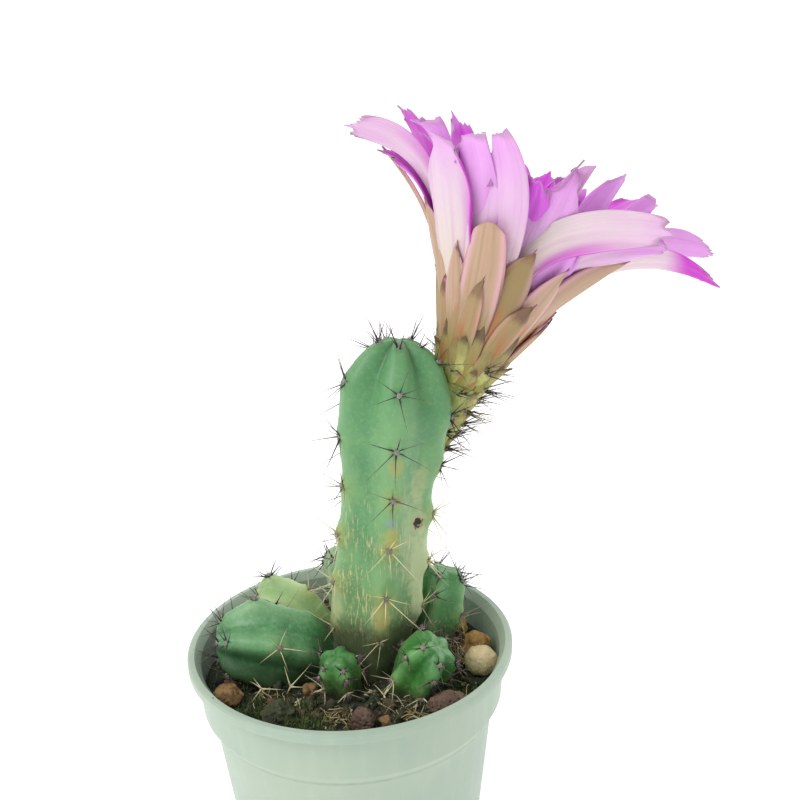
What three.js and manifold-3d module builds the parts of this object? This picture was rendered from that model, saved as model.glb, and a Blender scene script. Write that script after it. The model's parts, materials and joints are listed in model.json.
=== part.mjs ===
// A flowering ladyfinger cactus in a round plastic nursery pot: one tall five-ribbed stem, six offsets
// round its foot, and one pink flower that grows from the side of the stem on a scaly tube.
// Millimetres, +Z up, +X to the right and -Y towards the front. The origin is the centre of the pot's
// underside, which stands on the plane z = 0.
import * as THREE from "three";
import { mergeVertices } from "three/addons/utils/BufferGeometryUtils.js";
import Module from "manifold-3d";

const wasm = await Module();
wasm.setup();

// ---- driving dimensions -------------------------------------------------------------------------

const GAP = 0.3; // between two pieces that touch
const POT = {
  height: 76, lipRadius: 42.5, lipDrop: 2.4, wall: 1.2,
  collarTop: 40.4, collarFoot: 39.6, collarFootZ: 62,
  bodyTop: 37, bodyTopZ: 57.5, baseRadius: 30.5, floor: 2, sides: 36,
};
const DRAIN = { holes: 6, radius: 4, ring: 19, slotWidth: 3, slotDepth: 1 };
const SOIL = { level: 66.8, sides: 24, rings: 5, mound: [5, 0], moundHeight: 1.2, moundSpread: 150 };

const SPINE = { radius: 0.3, root: 1.8, sides: 3, elevation: 30, spread: 0.8, clear: 0.9 };
// Stars of spines on an areole: the angle from the direction of the root, and the share of the length.
const CROSS_STAR = [[20, 0.85], [84, 1], [-76, 1], [-158, 0.75]];
const SMALL_STAR = [[16, 0.9], [118, 1], [-105, 1]];

// Each stem runs from its root along a curve to its tip. Girth, rib depth and tubercle height are
// read at distances from the root; the dome closes the tip.
const STEMS = {
  main_stem: {
    root: [1.6, -1, 54], bend: [10.4, -0.3, 106], tip: [15.8, 0.5, 156.5], dome: 18, square: 2.2, dimple: 2.2,
    girth: [[0, 5], [13, 8.4], [21, 10.2], [33, 12], [50, 11.6], [66, 11.6], [78, 13.3], [86, 14]],
    ribs: 5, phase: 0, twist: 16, depth: [[0, 0.08], [40, 0.14], [86, 0.2], [102, 0.3]],
    tubercle: [[0, 0], [22, 0.6], [50, 1.1], [80, 0.7], [106, 0.4]],
    areoles: { first: 27, spacing: 13, count: 7 }, spine: 9, star: CROSS_STAR, rows: 2, ribSides: 4, seed: 11,
  },
  left_pup: {
    root: [-1, 0.5, 61], bend: [-8, -2, 77], tip: [-35.5, -3, 77.5], dome: 9, square: 2.6, dimple: 1.4,
    girth: [[0, 3.5], [10, 6.5], [20, 10.2], [30, 11]],
    ribs: 5, phase: 28, twist: 0, depth: [[0, 0.1], [20, 0.18], [40, 0.28]],
    tubercle: [[0, 0], [14, 0.6], [34, 1]],
    areoles: { first: 21, spacing: 11.5, count: 3 }, spine: 6.5, star: SMALL_STAR, rows: 2, ribSides: 3, seed: 23,
  },
  rear_left_pup: {
    root: [-3, 11, 58], bend: [-8, 15, 75], tip: [-27, 20, 79.5], dome: 6, square: 2.3, dimple: 0.8,
    girth: [[0, 3], [12, 5.6], [24, 7.2], [34, 6.6]],
    ribs: 5, phase: 10, twist: 10, depth: [[0, 0.1], [30, 0.22]],
    tubercle: [[0, 0], [14, 0.7], [34, 0.9]],
    areoles: { first: 17, spacing: 10.5, count: 3 }, spine: 6, star: SMALL_STAR, rows: 2, ribSides: 2, seed: 37,
  },
  rear_pup: {
    root: [0, 14.5, 57], bend: [-1.5, 15.5, 76], tip: [-2, 15, 95], dome: 6, square: 2.2, dimple: 0.7,
    girth: [[0, 2.5], [11, 4.6], [28, 5.4]],
    ribs: 5, phase: 35, twist: 0, depth: [[0, 0.1], [40, 0.22]],
    tubercle: [[0, 0], [14, 0.5], [34, 0.7]],
    areoles: { first: 16, spacing: 11, count: 3 }, spine: 6, star: SMALL_STAR, rows: 2, ribSides: 2, seed: 41,
  },
  rear_right_pup: {
    root: [19, 8, 58], bend: [22.5, 9, 72], tip: [26, 11.5, 89.5], dome: 7, square: 2.3, dimple: 0.9,
    girth: [[0, 2.5], [10, 5.6], [20, 7.2]],
    ribs: 5, phase: -20, twist: 0, depth: [[0, 0.1], [34, 0.26]],
    tubercle: [[0, 0], [12, 0.6], [30, 0.9]],
    areoles: { first: 15, spacing: 11, count: 3 }, spine: 7, star: SMALL_STAR, rows: 2, ribSides: 2, seed: 53,
  },
  front_right_pup: {
    root: [13.5, -10, 60], bend: [16.5, -13, 74], tip: [23.5, -16, 82], dome: 6.5, square: 2.2, dimple: 1.1,
    girth: [[0, 3], [7, 5.8], [13, 7.2]],
    ribs: 5, phase: 15, twist: 0, depth: [[0, 0.1], [22, 0.3]],
    tubercle: [[0, 0], [8, 0.8], [20, 1.1]],
    areoles: { first: 12, spacing: 6.5, count: 2 }, spine: 5, star: SMALL_STAR, rows: 2, ribSides: 2, seed: 61,
  },
  front_pup: {
    root: [-2, -9, 60], bend: [-2.3, -10, 66], tip: [-3, -12.5, 78.5], dome: 4.8, square: 2.2, dimple: 0.8,
    girth: [[0, 2.5], [6, 4.6], [12, 5.4]],
    ribs: 5, phase: 20, twist: 0, depth: [[0, 0.1], [18, 0.32]],
    tubercle: [[0, 0], [6, 0.7], [16, 1]],
    areoles: { first: 9.5, spacing: 5, count: 2 }, spine: 4, star: SMALL_STAR, rows: 2, ribSides: 2, seed: 71,
  },
};

// The flower's tube leaves the stem's right-hand rib and carries the perianth on its end.
const TUBE = {
  root: [20.5, 5, 122], bend: [26, 6.4, 136], end: [33.6, 6, 150.7], axis: [14.7, 5.5, 36],
  girth: [[0, 3.4], [10, 4.6], [20, 6], [31, 8.6]], sides: 16, rowStep: 4,
  scales: 12, scaleStart: 7, scaleLength: [3, 7], spine: 5.5, seed: 83,
};
// Rings that hold the blades: radius and height along the flower's axis.
const TEPAL_COLLAR = [[6, 0.3], [9.4, 0.3], [11.2, 4.2], [6, 4.2]];
const PETAL_COLLAR = [[7.6, 4.5], [9.6, 4.5], [10.6, 8.5], [8, 8.5]];
const STAMEN_RING = [[5, 4.5], [7.3, 4.5], [7.3, 6.5], [5, 6.5]];
const FLOWER_SIDES = 18;
const STAMENS = { count: 14, rings: 2, filament: 0.4, height: [15, 21], lean: [4, 22], anther: 0.9 };
const PISTIL = { base: 3, style: 1.1, height: 31, lobes: 6, lobe: 4.5 };

// Blades by the bearing round the flower's axis, 0 at the front and growing to the right, then their
// length, their width, and the lean of their tip away from the axis.
const SHORT_TEPALS = [
  [-94, 17, 6, 16], [-50, 18, 6.5, 20], [-21, 17, 6.5, 18], [39, 15, 7, 16], [74, 13, 6.5, 22],
  [125, 16, 7, 18], [-160, 17, 7, 18],
];
const LONG_TEPALS = [
  [-78, 38, 8, 34], [-25, 31, 10.5, 27], [8, 28, 8, 17], [52, 29, 8.5, 20], [76, 36, 9.5, 38],
  [118, 31, 9.5, 28], [165, 30, 9.5, 28], [-135, 33, 9.5, 29],
];
const OUTER_PETALS = [
  [-93, 56, 12, 88], [-56, 44, 15, 44], [-22, 49, 13, 38], [9, 35, 14, 42], [44, 47, 16, 67], [70, 56, 12.5, 92],
  [96, 61, 11.5, 87], [124, 54, 13, 42], [152, 53, 13, 40], [-178, 53, 13, 44], [-150, 55, 13, 50],
  [-122, 59, 12, 58],
];
const INNER_PETALS = [
  [-37, 48, 13, 42], [-74, 50, 12, 50], [30, 42, 12, 36], [110, 51, 12, 36], [150, 51, 12, 14],
  [-138, 56, 12, 30],
];

const STONES = {
  tan_pebble: { at: [34, -5.5, 70.5], size: [4.4, 3.8, 4], rough: 0.04, seed: 3 },
  bark_chunk: { at: [33.4, 2, 70], size: [4.2, 3.4, 4], rough: 0.26, seed: 7 },
  lava_right: { at: [24.4, -22.5, 69.5], size: [5.2, 3.6, 3.2], rough: 0.2, seed: 13 },
  lava_front: { at: [3.6, -26.5, 68.6], size: [3.2, 3.4, 3], rough: 0.2, seed: 17 },
  brown_stone: { at: [-31, -14.5, 68.8], size: [3.9, 3.6, 2.8], rough: 0.18, seed: 29 },
  dark_stone: { at: [-17.5, -22.5, 68.6], size: [4, 3.6, 2.8], rough: 0.18, seed: 31 },
};

// ---- small helpers ------------------------------------------------------------------------------

const vec = (list) => new THREE.Vector3(...list);
const rad = THREE.MathUtils.degToRad;
const lerp = THREE.MathUtils.lerp;
const smooth = (t) => THREE.MathUtils.smoothstep(t, 0, 1);

// Repeatable draws between -1 and 1.
function draws(seed) {
  let state = seed;
  return () => {
    state = (Math.imul(state, 1664525) + 1013904223) >>> 0;
    return state / 2147483648 - 1;
  };
}

// The value at a distance, read smoothly between the stops of a list of [distance, value].
function readAt(stops, distance) {
  let low = stops[0];
  for (const high of stops) {
    if (distance < high[0]) {
      if (high === low) return high[1];
      return lerp(low[1], high[1], smooth((distance - low[0]) / (high[0] - low[0])));
    }
    low = high;
  }
  return low[1];
}

function solidOf(geometry) {
  const bare = geometry.clone();
  bare.deleteAttribute("normal");
  bare.deleteAttribute("uv");
  const merged = mergeVertices(bare, 1e-3);
  return new wasm.Manifold(
    new wasm.Mesh({
      numProp: 3,
      vertProperties: merged.attributes.position.array,
      triVerts: new Uint32Array(merged.index.array),
    }),
  );
}

function geometryOf(solid) {
  const mesh = solid.getMesh();
  const geometry = new THREE.BufferGeometry();
  geometry.setAttribute("position", new THREE.BufferAttribute(mesh.vertProperties, 3));
  geometry.setIndex(new THREE.BufferAttribute(mesh.triVerts, 1));
  geometry.computeVertexNormals();
  return geometry;
}

// The largest connected piece, without the scraps that a cut can leave.
function largestPiece(solid) {
  return solid.decompose().reduce((best, piece) => (piece.volume() > best.volume() ? piece : best));
}

const joined = (solids) => wasm.Manifold.union(solids);

// A closed solid through rings of equally many points, counter-clockwise seen from the last ring.
function solidFromRings(rings) {
  const count = rings[0].length;
  const points = rings.flat();
  const faces = [];
  const corner = (ring, i) => ring * count + (i % count);
  for (let ring = 0; ring + 1 < rings.length; ring++) {
    for (let i = 0; i < count; i++) {
      faces.push(corner(ring, i), corner(ring, i + 1), corner(ring + 1, i + 1));
      faces.push(corner(ring, i), corner(ring + 1, i + 1), corner(ring + 1, i));
    }
  }
  for (const [ring, flip] of [[0, true], [rings.length - 1, false]]) {
    const centre = points.length;
    points.push(rings[ring].reduce((sum, p) => sum.add(p), new THREE.Vector3()).divideScalar(count));
    for (let i = 0; i < count; i++) {
      const [a, b] = [corner(ring, i), corner(ring, i + 1)];
      faces.push(centre, flip ? b : a, flip ? a : b);
    }
  }
  return solidOf(new THREE.BufferGeometry().setFromPoints(points).setIndex(faces));
}

// ---- pot and soil -------------------------------------------------------------------------------

function potSolid() {
  const { height, wall, floor } = POT;
  const profile = [
    [0, 0], [POT.baseRadius - 1, 0], [POT.baseRadius, 1], [POT.bodyTop, POT.bodyTopZ],
    [POT.collarFoot, POT.collarFootZ], [POT.collarTop, height - POT.lipDrop],
    [POT.lipRadius, height - POT.lipDrop], [POT.lipRadius, height - 0.4], [POT.lipRadius - 0.5, height],
    [POT.collarTop + 0.3, height], [POT.collarTop - wall, height - POT.lipDrop],
    [POT.collarFoot - wall, POT.collarFootZ], [POT.bodyTop - wall, POT.bodyTopZ],
    [POT.baseRadius - wall, floor], [0, floor],
  ].map((p) => new THREE.Vector2(...p));
  // A lathe turns about Y, so it is stood up on Z.
  const lathe = new THREE.LatheGeometry(profile, POT.sides).rotateX(Math.PI / 2);
  const cuts = [];
  for (let i = 0; i < DRAIN.holes; i++) {
    const turn = (i / DRAIN.holes) * 2 * Math.PI;
    const hole = new THREE.CylinderGeometry(DRAIN.radius, DRAIN.radius, 3 * floor, 12);
    hole.rotateX(Math.PI / 2).translate(DRAIN.ring, 0, floor / 2).rotateZ(turn);
    const reach = POT.baseRadius + 2 - DRAIN.ring;
    const slot = new THREE.BoxGeometry(reach, DRAIN.slotWidth, 2 * DRAIN.slotDepth);
    slot.translate(DRAIN.ring + reach / 2, 0, 0).rotateZ(turn);
    cuts.push(solidOf(hole), solidOf(slot));
  }
  return solidOf(lathe).subtract(joined(cuts));
}

// The height of the soil's uneven surface.
function soilTop(x, y) {
  const mound = Math.exp(-((x - SOIL.mound[0]) ** 2 + (y - SOIL.mound[1]) ** 2) / SOIL.moundSpread);
  const swell = 0.7 * Math.sin(0.21 * x + 1.3) * Math.cos(0.17 * y - 0.4);
  const lumps = 0.5 * Math.sin(0.47 * x - 0.38 * y) + 0.3 * Math.sin(0.9 * x + 2) * Math.sin(0.8 * y + 1);
  return SOIL.level + SOIL.moundHeight * mound + swell + lumps;
}

// The pot's inner radius at a height.
function potInside(z) {
  const stops = [
    [POT.floor, POT.baseRadius], [POT.bodyTopZ, POT.bodyTop],
    [POT.collarFootZ, POT.collarFoot], [POT.height, POT.collarTop],
  ];
  const next = Math.max(1, stops.findIndex(([level]) => z <= level));
  const [[z0, r0], [z1, r1]] = [stops[next - 1], stops[next]];
  return lerp(r0, r1, (z - z0) / (z1 - z0)) - POT.wall;
}

function soilSolid() {
  const circle = (radius, height) => {
    const points = [];
    for (let i = 0; i < SOIL.sides; i++) {
      const turn = (i / SOIL.sides) * 2 * Math.PI;
      const [x, y] = [radius * Math.cos(turn), radius * Math.sin(turn)];
      points.push(new THREE.Vector3(x, y, height(x, y)));
    }
    return points;
  };
  const bottom = POT.floor + GAP;
  const rings = [bottom, POT.bodyTopZ, POT.collarFootZ].map((z) => circle(potInside(z) - GAP, () => z));
  const edge = potInside(SOIL.level) - GAP;
  for (let ring = SOIL.rings; ring > 0; ring--) rings.push(circle((edge * ring) / SOIL.rings, soilTop));
  return solidFromRings(rings);
}

// ---- ribbed stems -------------------------------------------------------------------------------

// The curve, lengths and frame of one stem.
function stemAxis(stem) {
  const curve = new THREE.QuadraticBezierCurve3(vec(stem.root), vec(stem.bend), vec(stem.tip));
  const length = curve.getLength();
  const straight = length - stem.dome;
  const arc = (Math.PI / 4) * (stem.dome + readAt(stem.girth, straight));
  return { curve, length, straight, total: straight + arc, arc };
}

// Where a point of the stem's skin lies: turn is the angle round the axis, 0 at the front and growing
// to the right; along is the distance over the skin from the root.
function stemPoint(stem, axis, turn, along, grow = 0, plain = false) {
  const { curve, length, straight, arc } = axis;
  const over = THREE.MathUtils.clamp((along - straight) / arc, 0, 1) * (Math.PI / 2);
  const rise = stem.dome * Math.sin(over) ** (2 / stem.square);
  const height = Math.min(along, straight) + rise - stem.dimple * smooth((over - 0.95) / 0.62);
  const u = Math.min(height / length, 1);
  const tangent = curve.getTangentAt(u);
  const centre = curve.getPointAt(u);
  const front = new THREE.Vector3(0, -1, 0);
  front.addScaledVector(tangent, -front.dot(tangent)).normalize();
  const right = tangent.clone().cross(front);

  const ribTurn = (turn - ribBearing(stem, axis, 0, along)) * (stem.ribs / (2 * Math.PI));
  const offset = Math.abs(ribTurn - Math.round(ribTurn)) * 2; // 0 on the crest and 1 in the groove
  const depth = plain ? 0 : readAt(stem.depth, along);
  const crest = readAt(stem.tubercle, along) * (plain ? 1 : tubercleShape(stem, turn, along, offset, axis));
  const round = Math.cos(over) ** (2 / stem.square);
  const girth = readAt(stem.girth, along) * (plain ? 1 / Math.cos(Math.PI / 12) : 1);
  const radius = (girth * (1 - depth * Math.sin((Math.PI * offset) / 2) ** 2) + crest) * round;
  return centre
    .addScaledVector(front, Math.cos(turn) * (radius + grow * round))
    .addScaledVector(right, Math.sin(turn) * (radius + grow * round))
    .addScaledVector(tangent, grow * Math.sin(over));
}

// The turn of a rib's crest, which drifts a little from root to tip.
function ribBearing(stem, axis, rib, along) {
  const drift = rad(stem.twist) * (1 - along / axis.total);
  return (rib / stem.ribs) * 2 * Math.PI + rad(stem.phase) + drift;
}

// The first areole of a rib: every other rib starts half a step higher.
const firstAreole = (stem, rib) => stem.areoles.first + (rib % 2) * 0.5 * stem.areoles.spacing;

// The swelling under each areole, 1 at its middle.
function tubercleShape(stem, turn, along, offset, axis) {
  const rib = Math.round(((turn - ribBearing(stem, axis, 0, along)) * stem.ribs) / (2 * Math.PI));
  const own = ((rib % stem.ribs) + stem.ribs) % stem.ribs;
  const phase = (along - firstAreole(stem, own)) / stem.areoles.spacing;
  return Math.cos(Math.PI * phase) ** 4 * Math.exp(-((offset / 0.45) ** 2));
}

function stemBody(stem, grow = 0, plain = false) {
  const axis = stemAxis(stem);
  const sides = plain ? 12 : stem.ribs * stem.ribSides;
  const step = plain ? 5 : stem.areoles.spacing / stem.rows;
  const fine = Math.min(step, axis.arc / (plain ? 3 : 5));
  const levels = [0]; // a row runs through every areole of the straight part
  for (let along = stem.areoles.first % step; along < axis.straight; along += step) {
    if (along > step / 2) levels.push(along);
  }
  for (let along = levels.at(-1) + fine; along < axis.total - fine / 4; along += fine) levels.push(along);
  const rings = levels.map((along) => {
    const start = ribBearing(stem, axis, 0, along);
    return Array.from({ length: sides }, (_, i) =>
      stemPoint(stem, axis, start + (i / sides) * 2 * Math.PI, along, grow, plain));
  });
  return solidFromRings(rings);
}

// A slim three-sided spine from a point of the skin.
function spineSolid(from, direction, length, radius = SPINE.radius) {
  const tall = length + SPINE.root;
  const cone = new THREE.ConeGeometry(radius, tall, SPINE.sides, 1);
  cone.translate(0, tall / 2 - SPINE.root, 0);
  cone.applyQuaternion(new THREE.Quaternion().setFromUnitVectors(new THREE.Vector3(0, 1, 0), direction));
  return solidOf(cone.translate(from.x, from.y, from.z));
}

// The areoles of a stem: where each lies, its outward normal and the way to the root.
function areolesOf(stem) {
  const axis = stemAxis(stem);
  const found = [];
  for (let rib = 0; rib < stem.ribs; rib++) {
    for (let i = 0; i < stem.areoles.count; i++) {
      const along = firstAreole(stem, rib) + i * stem.areoles.spacing;
      if (along > axis.total - 2) continue;
      const turn = ribBearing(stem, axis, rib, along);
      const point = stemPoint(stem, axis, turn, along);
      const toRoot = stemPoint(stem, axis, turn, along - 0.5).sub(point).normalize();
      const aside = stemPoint(stem, axis, turn + 0.02, along).sub(point).normalize();
      const normal = toRoot.clone().cross(aside).normalize();
      found.push({ point, normal, toRoot, aside });
    }
  }
  return found;
}

// ---- room for the spines ------------------------------------------------------------------------

const flowerAxis = vec(TUBE.axis).normalize();
const tubeCurve = new THREE.CubicBezierCurve3(
  vec(TUBE.root), vec(TUBE.bend), vec(TUBE.end).addScaledVector(flowerAxis, -6), vec(TUBE.end),
);

// Balls that fill a stem or the tube, as rough stand-ins for their bodies.
function ballsAlong(curve, radiusAt) {
  const balls = [];
  for (let i = 0; i <= 24; i++) balls.push({ centre: curve.getPointAt(i / 24), radius: radiusAt(i / 24) });
  return balls;
}
const bodies = Object.entries(STEMS).map(([name, stem]) => {
  const { curve, length } = stemAxis(stem);
  return { name, balls: ballsAlong(curve, (u) => readAt(stem.girth, u * length) + 1.3) };
});
bodies.push({
  name: "flower_tube",
  balls: ballsAlong(tubeCurve, (u) => readAt(TUBE.girth, u * tubeCurve.getLength()) + 1.6),
});
for (const [name, stone] of Object.entries(STONES)) {
  bodies.push({ name, balls: [{ centre: vec(stone.at), radius: Math.max(...stone.size) + 1 }] });
}

// Whether a point is free of the pot, the soil, the perianth and every body but its own.
function isFree(point, owner) {
  if (point.z < soilTop(point.x, point.y) + 0.8) return false;
  const reach = Math.hypot(point.x, point.y);
  if (point.z < POT.height + 1 && reach > potInside(point.z) - 1 && reach < POT.lipRadius + 1) return false;
  const fromTube = point.clone().sub(vec(TUBE.end));
  const rise = fromTube.dot(flowerAxis);
  const out = Math.sqrt(Math.max(0, fromTube.lengthSq() - rise * rise));
  if (rise > -2.5 && out < 12.5 + rise) return false;
  return bodies.every((body) =>
    body.name === owner || body.balls.every((ball) => ball.centre.distanceTo(point) > ball.radius));
}

// Spines placed so far, so that none crosses a spine of another piece.
const placed = [];

function spineFits(from, direction, length, owner) {
  const samples = [0.2, 0.4, 0.6, 0.8, 1.05].map((share) =>
    from.clone().addScaledVector(direction, share * length));
  if (!samples.every((sample) => isFree(sample, owner))) return false;
  const crosses = placed.some((other) => other.owner !== owner &&
    samples.some((a) => other.samples.some((b) => a.distanceTo(b) < SPINE.clear + 0.12 * length)));
  if (crosses) return false;
  placed.push({ owner, samples });
  return true;
}

// A star of spines on each areole.
function starsOf(areoles, star, spineLength, seed, owner) {
  const draw = draws(seed);
  const spines = [];
  for (const areole of areoles) {
    for (const [bearing, share] of star) {
      const angle = rad(bearing + 12 * draw());
      const length = spineLength * share * (1 + 0.25 * draw());
      const lift = rad(SPINE.elevation + 14 * draw());
      const direction = areole.toRoot.clone().multiplyScalar(Math.cos(angle) * Math.cos(lift));
      direction.addScaledVector(areole.aside, Math.sin(angle) * Math.cos(lift));
      const root = areole.point.clone().addScaledVector(direction, SPINE.spread);
      direction.addScaledVector(areole.normal, Math.sin(lift)).normalize();
      if (spineFits(root, direction, length, owner)) spines.push(spineSolid(root, direction, length));
    }
  }
  return spines;
}

// ---- flower -------------------------------------------------------------------------------------

// A blade such as a scale, tepal or petal, round the local Z axis. It leaves (radius, height) at a
// lean from the axis, and bends to the lean of its tip between two shares of its length.
function bladeSolid(blade) {
  const { rows, columns, thick } = blade;
  const middle = new THREE.Vector2(blade.radius, blade.height);
  const grid = [];
  const steps = 4; // short steps of the midrib in each row
  let travelled = 0;
  for (let row = 0; row <= rows; row++) {
    const share = row / rows;
    const bend = smooth((share - blade.bendFrom) / (blade.bendTo - blade.bendFrom));
    const lean = rad(lerp(blade.lean, blade.tipLean, bend));
    const along = new THREE.Vector2(Math.sin(lean), Math.cos(lean));
    const inward = new THREE.Vector2(-Math.cos(lean), Math.sin(lean));
    const half = 0.5 * blade.width * bladeOutline(blade, share);
    const curl = lerp(0.5 / Math.max(middle.x, 4), blade.cup, smooth(share * 1.4));
    const line = [];
    for (let column = 0; column <= columns; column++) {
      const across = (column / columns) * 2 - 1;
      const tooth = blade.teeth * (column % 2) - blade.point * Math.abs(across) ** 1.5;
      const forward = tooth * share ** 4;
      const wave = blade.wave * Math.sin(5 * share + 2.6 * across + blade.phase) * Math.abs(across);
      const lift = curl * (half * across) ** 2 + wave * share;
      const x = middle.x + inward.x * lift + along.x * forward;
      const z = middle.y + inward.y * lift + along.y * forward;
      const side = half * across;
      line.push({ centre: [x, side, z], out: [-inward.x, -inward.y] });
    }
    grid.push(line);
    if (row < rows) {
      for (let step = 0; step < steps; step++) {
        travelled += blade.length / rows / steps;
        const part = smooth((travelled / blade.length - blade.bendFrom) / (blade.bendTo - blade.bendFrom));
        const slope = rad(lerp(blade.lean, blade.tipLean, part));
        middle.x += (Math.sin(slope) * blade.length) / rows / steps;
        middle.y += (Math.cos(slope) * blade.length) / rows / steps;
      }
    }
  }
  // Both faces share one way of splitting, so they never cross.
  const rings = grid.map((line) => {
    const outer = line.map(({ centre, out }) => bladePoint(blade, centre, out, thick / 2));
    const inner = line.map(({ centre, out }) => bladePoint(blade, centre, out, -thick / 2)).reverse();
    return [...outer, ...inner];
  });
  return solidFromRings(rings);
}

// The share of the full width at a share of the length: a slim claw, a broad middle, a drawn-in tip.
function bladeOutline(blade, share) {
  const widening = lerp(blade.claw, 1, smooth(share / 0.6));
  const closing = Math.max(0, (share - 0.62) / 0.38);
  return widening * (1 - (1 - blade.tip) * closing ** 2.2);
}

// A blade's point turned to its bearing: x runs outwards, and front is -Y.
function bladePoint(blade, [x, side, z], [outX, outZ], offset) {
  const turn = rad(blade.bearing);
  const reach = x + outX * offset;
  return new THREE.Vector3(
    Math.sin(turn) * reach + Math.cos(turn) * side,
    -Math.cos(turn) * reach + Math.sin(turn) * side,
    z + outZ * offset,
  );
}

function collarSolid(profile) {
  const points = [...profile, profile[0]].map(([radius, height]) => new THREE.Vector2(radius, height));
  return solidOf(new THREE.LatheGeometry(points, FLOWER_SIDES).rotateX(Math.PI / 2));
}

const TEPAL_BLADE = {
  lean: 26, bendFrom: 0.4, bendTo: 0.95, claw: 0.65, tip: 0.16, point: 1.5, teeth: 0,
  wave: 0.3, cup: 0.03, phase: 0, thick: 0.8, rows: 3, columns: 2,
};
const PETAL_BLADE = {
  height: 6.2, lean: 24, bendFrom: 0.45, bendTo: 0.8, claw: 0.4, tip: 0.42, point: 3.4, teeth: 1.2,
  wave: 0.6, cup: 0.012, thick: 0.7, rows: 4, columns: 4,
};

function blades(list, shape, seed) {
  const draw = draws(seed);
  return list.map(([bearing, length, width, tipLean]) =>
    bladeSolid({ ...shape, bearing, length, width, tipLean, phase: 3 * draw() }));
}

function petalBlades(extra = 0) {
  const shape = { ...PETAL_BLADE, thick: PETAL_BLADE.thick + extra };
  return [
    ...blades(OUTER_PETALS, { ...shape, radius: 10 }, 97),
    ...blades(INNER_PETALS, { ...shape, radius: 8.8 }, 101),
  ];
}

function tepalsSolid() {
  const pieces = [
    collarSolid(TEPAL_COLLAR),
    ...blades(SHORT_TEPALS, { ...TEPAL_BLADE, radius: 10.4, height: 1.6 }, 89),
    ...blades(LONG_TEPALS, { ...TEPAL_BLADE, radius: 9.2, height: 1.6 }, 91),
  ];
  // Room for the petals that lean out over the tepals.
  return largestPiece(joined(pieces).subtract(joined(petalBlades(2 * GAP))));
}

const petalsSolid = () => joined([collarSolid(PETAL_COLLAR), ...petalBlades()]);

function stamensSolid() {
  const pieces = [collarSolid(STAMEN_RING)];
  const draw = draws(113);
  const foot = (STAMEN_RING[0][0] + STAMEN_RING[1][0]) / 2;
  for (let i = 0; i < STAMENS.count; i++) {
    const inner = i % STAMENS.rings;
    const turn = ((i + 0.2 * draw()) / STAMENS.count) * 2 * Math.PI;
    const lean = rad(lerp(STAMENS.lean[1], STAMENS.lean[0], inner) + 3 * draw());
    const length = lerp(STAMENS.height[1], STAMENS.height[0], inner) + 1.5 * draw();
    const outward = new THREE.Vector3(Math.cos(turn), Math.sin(turn), 0);
    const direction = outward.clone().multiplyScalar(Math.sin(lean)).setZ(Math.cos(lean));
    const base = outward.clone().multiplyScalar(foot).setZ(STAMEN_RING[2][1] - 0.8);
    const tip = base.clone().addScaledVector(direction, length);
    const filament = new THREE.CylinderGeometry(STAMENS.filament * 0.8, STAMENS.filament, length, 3, 1);
    filament.translate(0, length / 2, 0);
    filament.applyQuaternion(new THREE.Quaternion().setFromUnitVectors(new THREE.Vector3(0, 1, 0), direction));
    const anther = new THREE.OctahedronGeometry(STAMENS.anther, 0);
    pieces.push(solidOf(filament.translate(base.x, base.y, base.z)));
    pieces.push(solidOf(anther.translate(tip.x, tip.y, tip.z)));
  }
  return joined(pieces);
}

function pistilSolid() {
  const profile = [
    [0, GAP], [PISTIL.base, GAP], [PISTIL.base * 0.8, 2.5], [PISTIL.style, 5],
    [PISTIL.style, PISTIL.height - 1], [PISTIL.style * 1.4, PISTIL.height], [0, PISTIL.height + 0.5],
  ].map((p) => new THREE.Vector2(...p));
  const pieces = [solidOf(new THREE.LatheGeometry(profile, 8).rotateX(Math.PI / 2))];
  for (let i = 0; i < PISTIL.lobes; i++) {
    const turn = (i / PISTIL.lobes) * 2 * Math.PI;
    const direction = new THREE.Vector3(Math.cos(turn), Math.sin(turn), 1.3).normalize();
    const root = new THREE.Vector3(0, 0, PISTIL.height - 0.4);
    pieces.push(spineSolid(root, direction, PISTIL.lobe, 0.75));
  }
  return joined(pieces);
}

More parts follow.
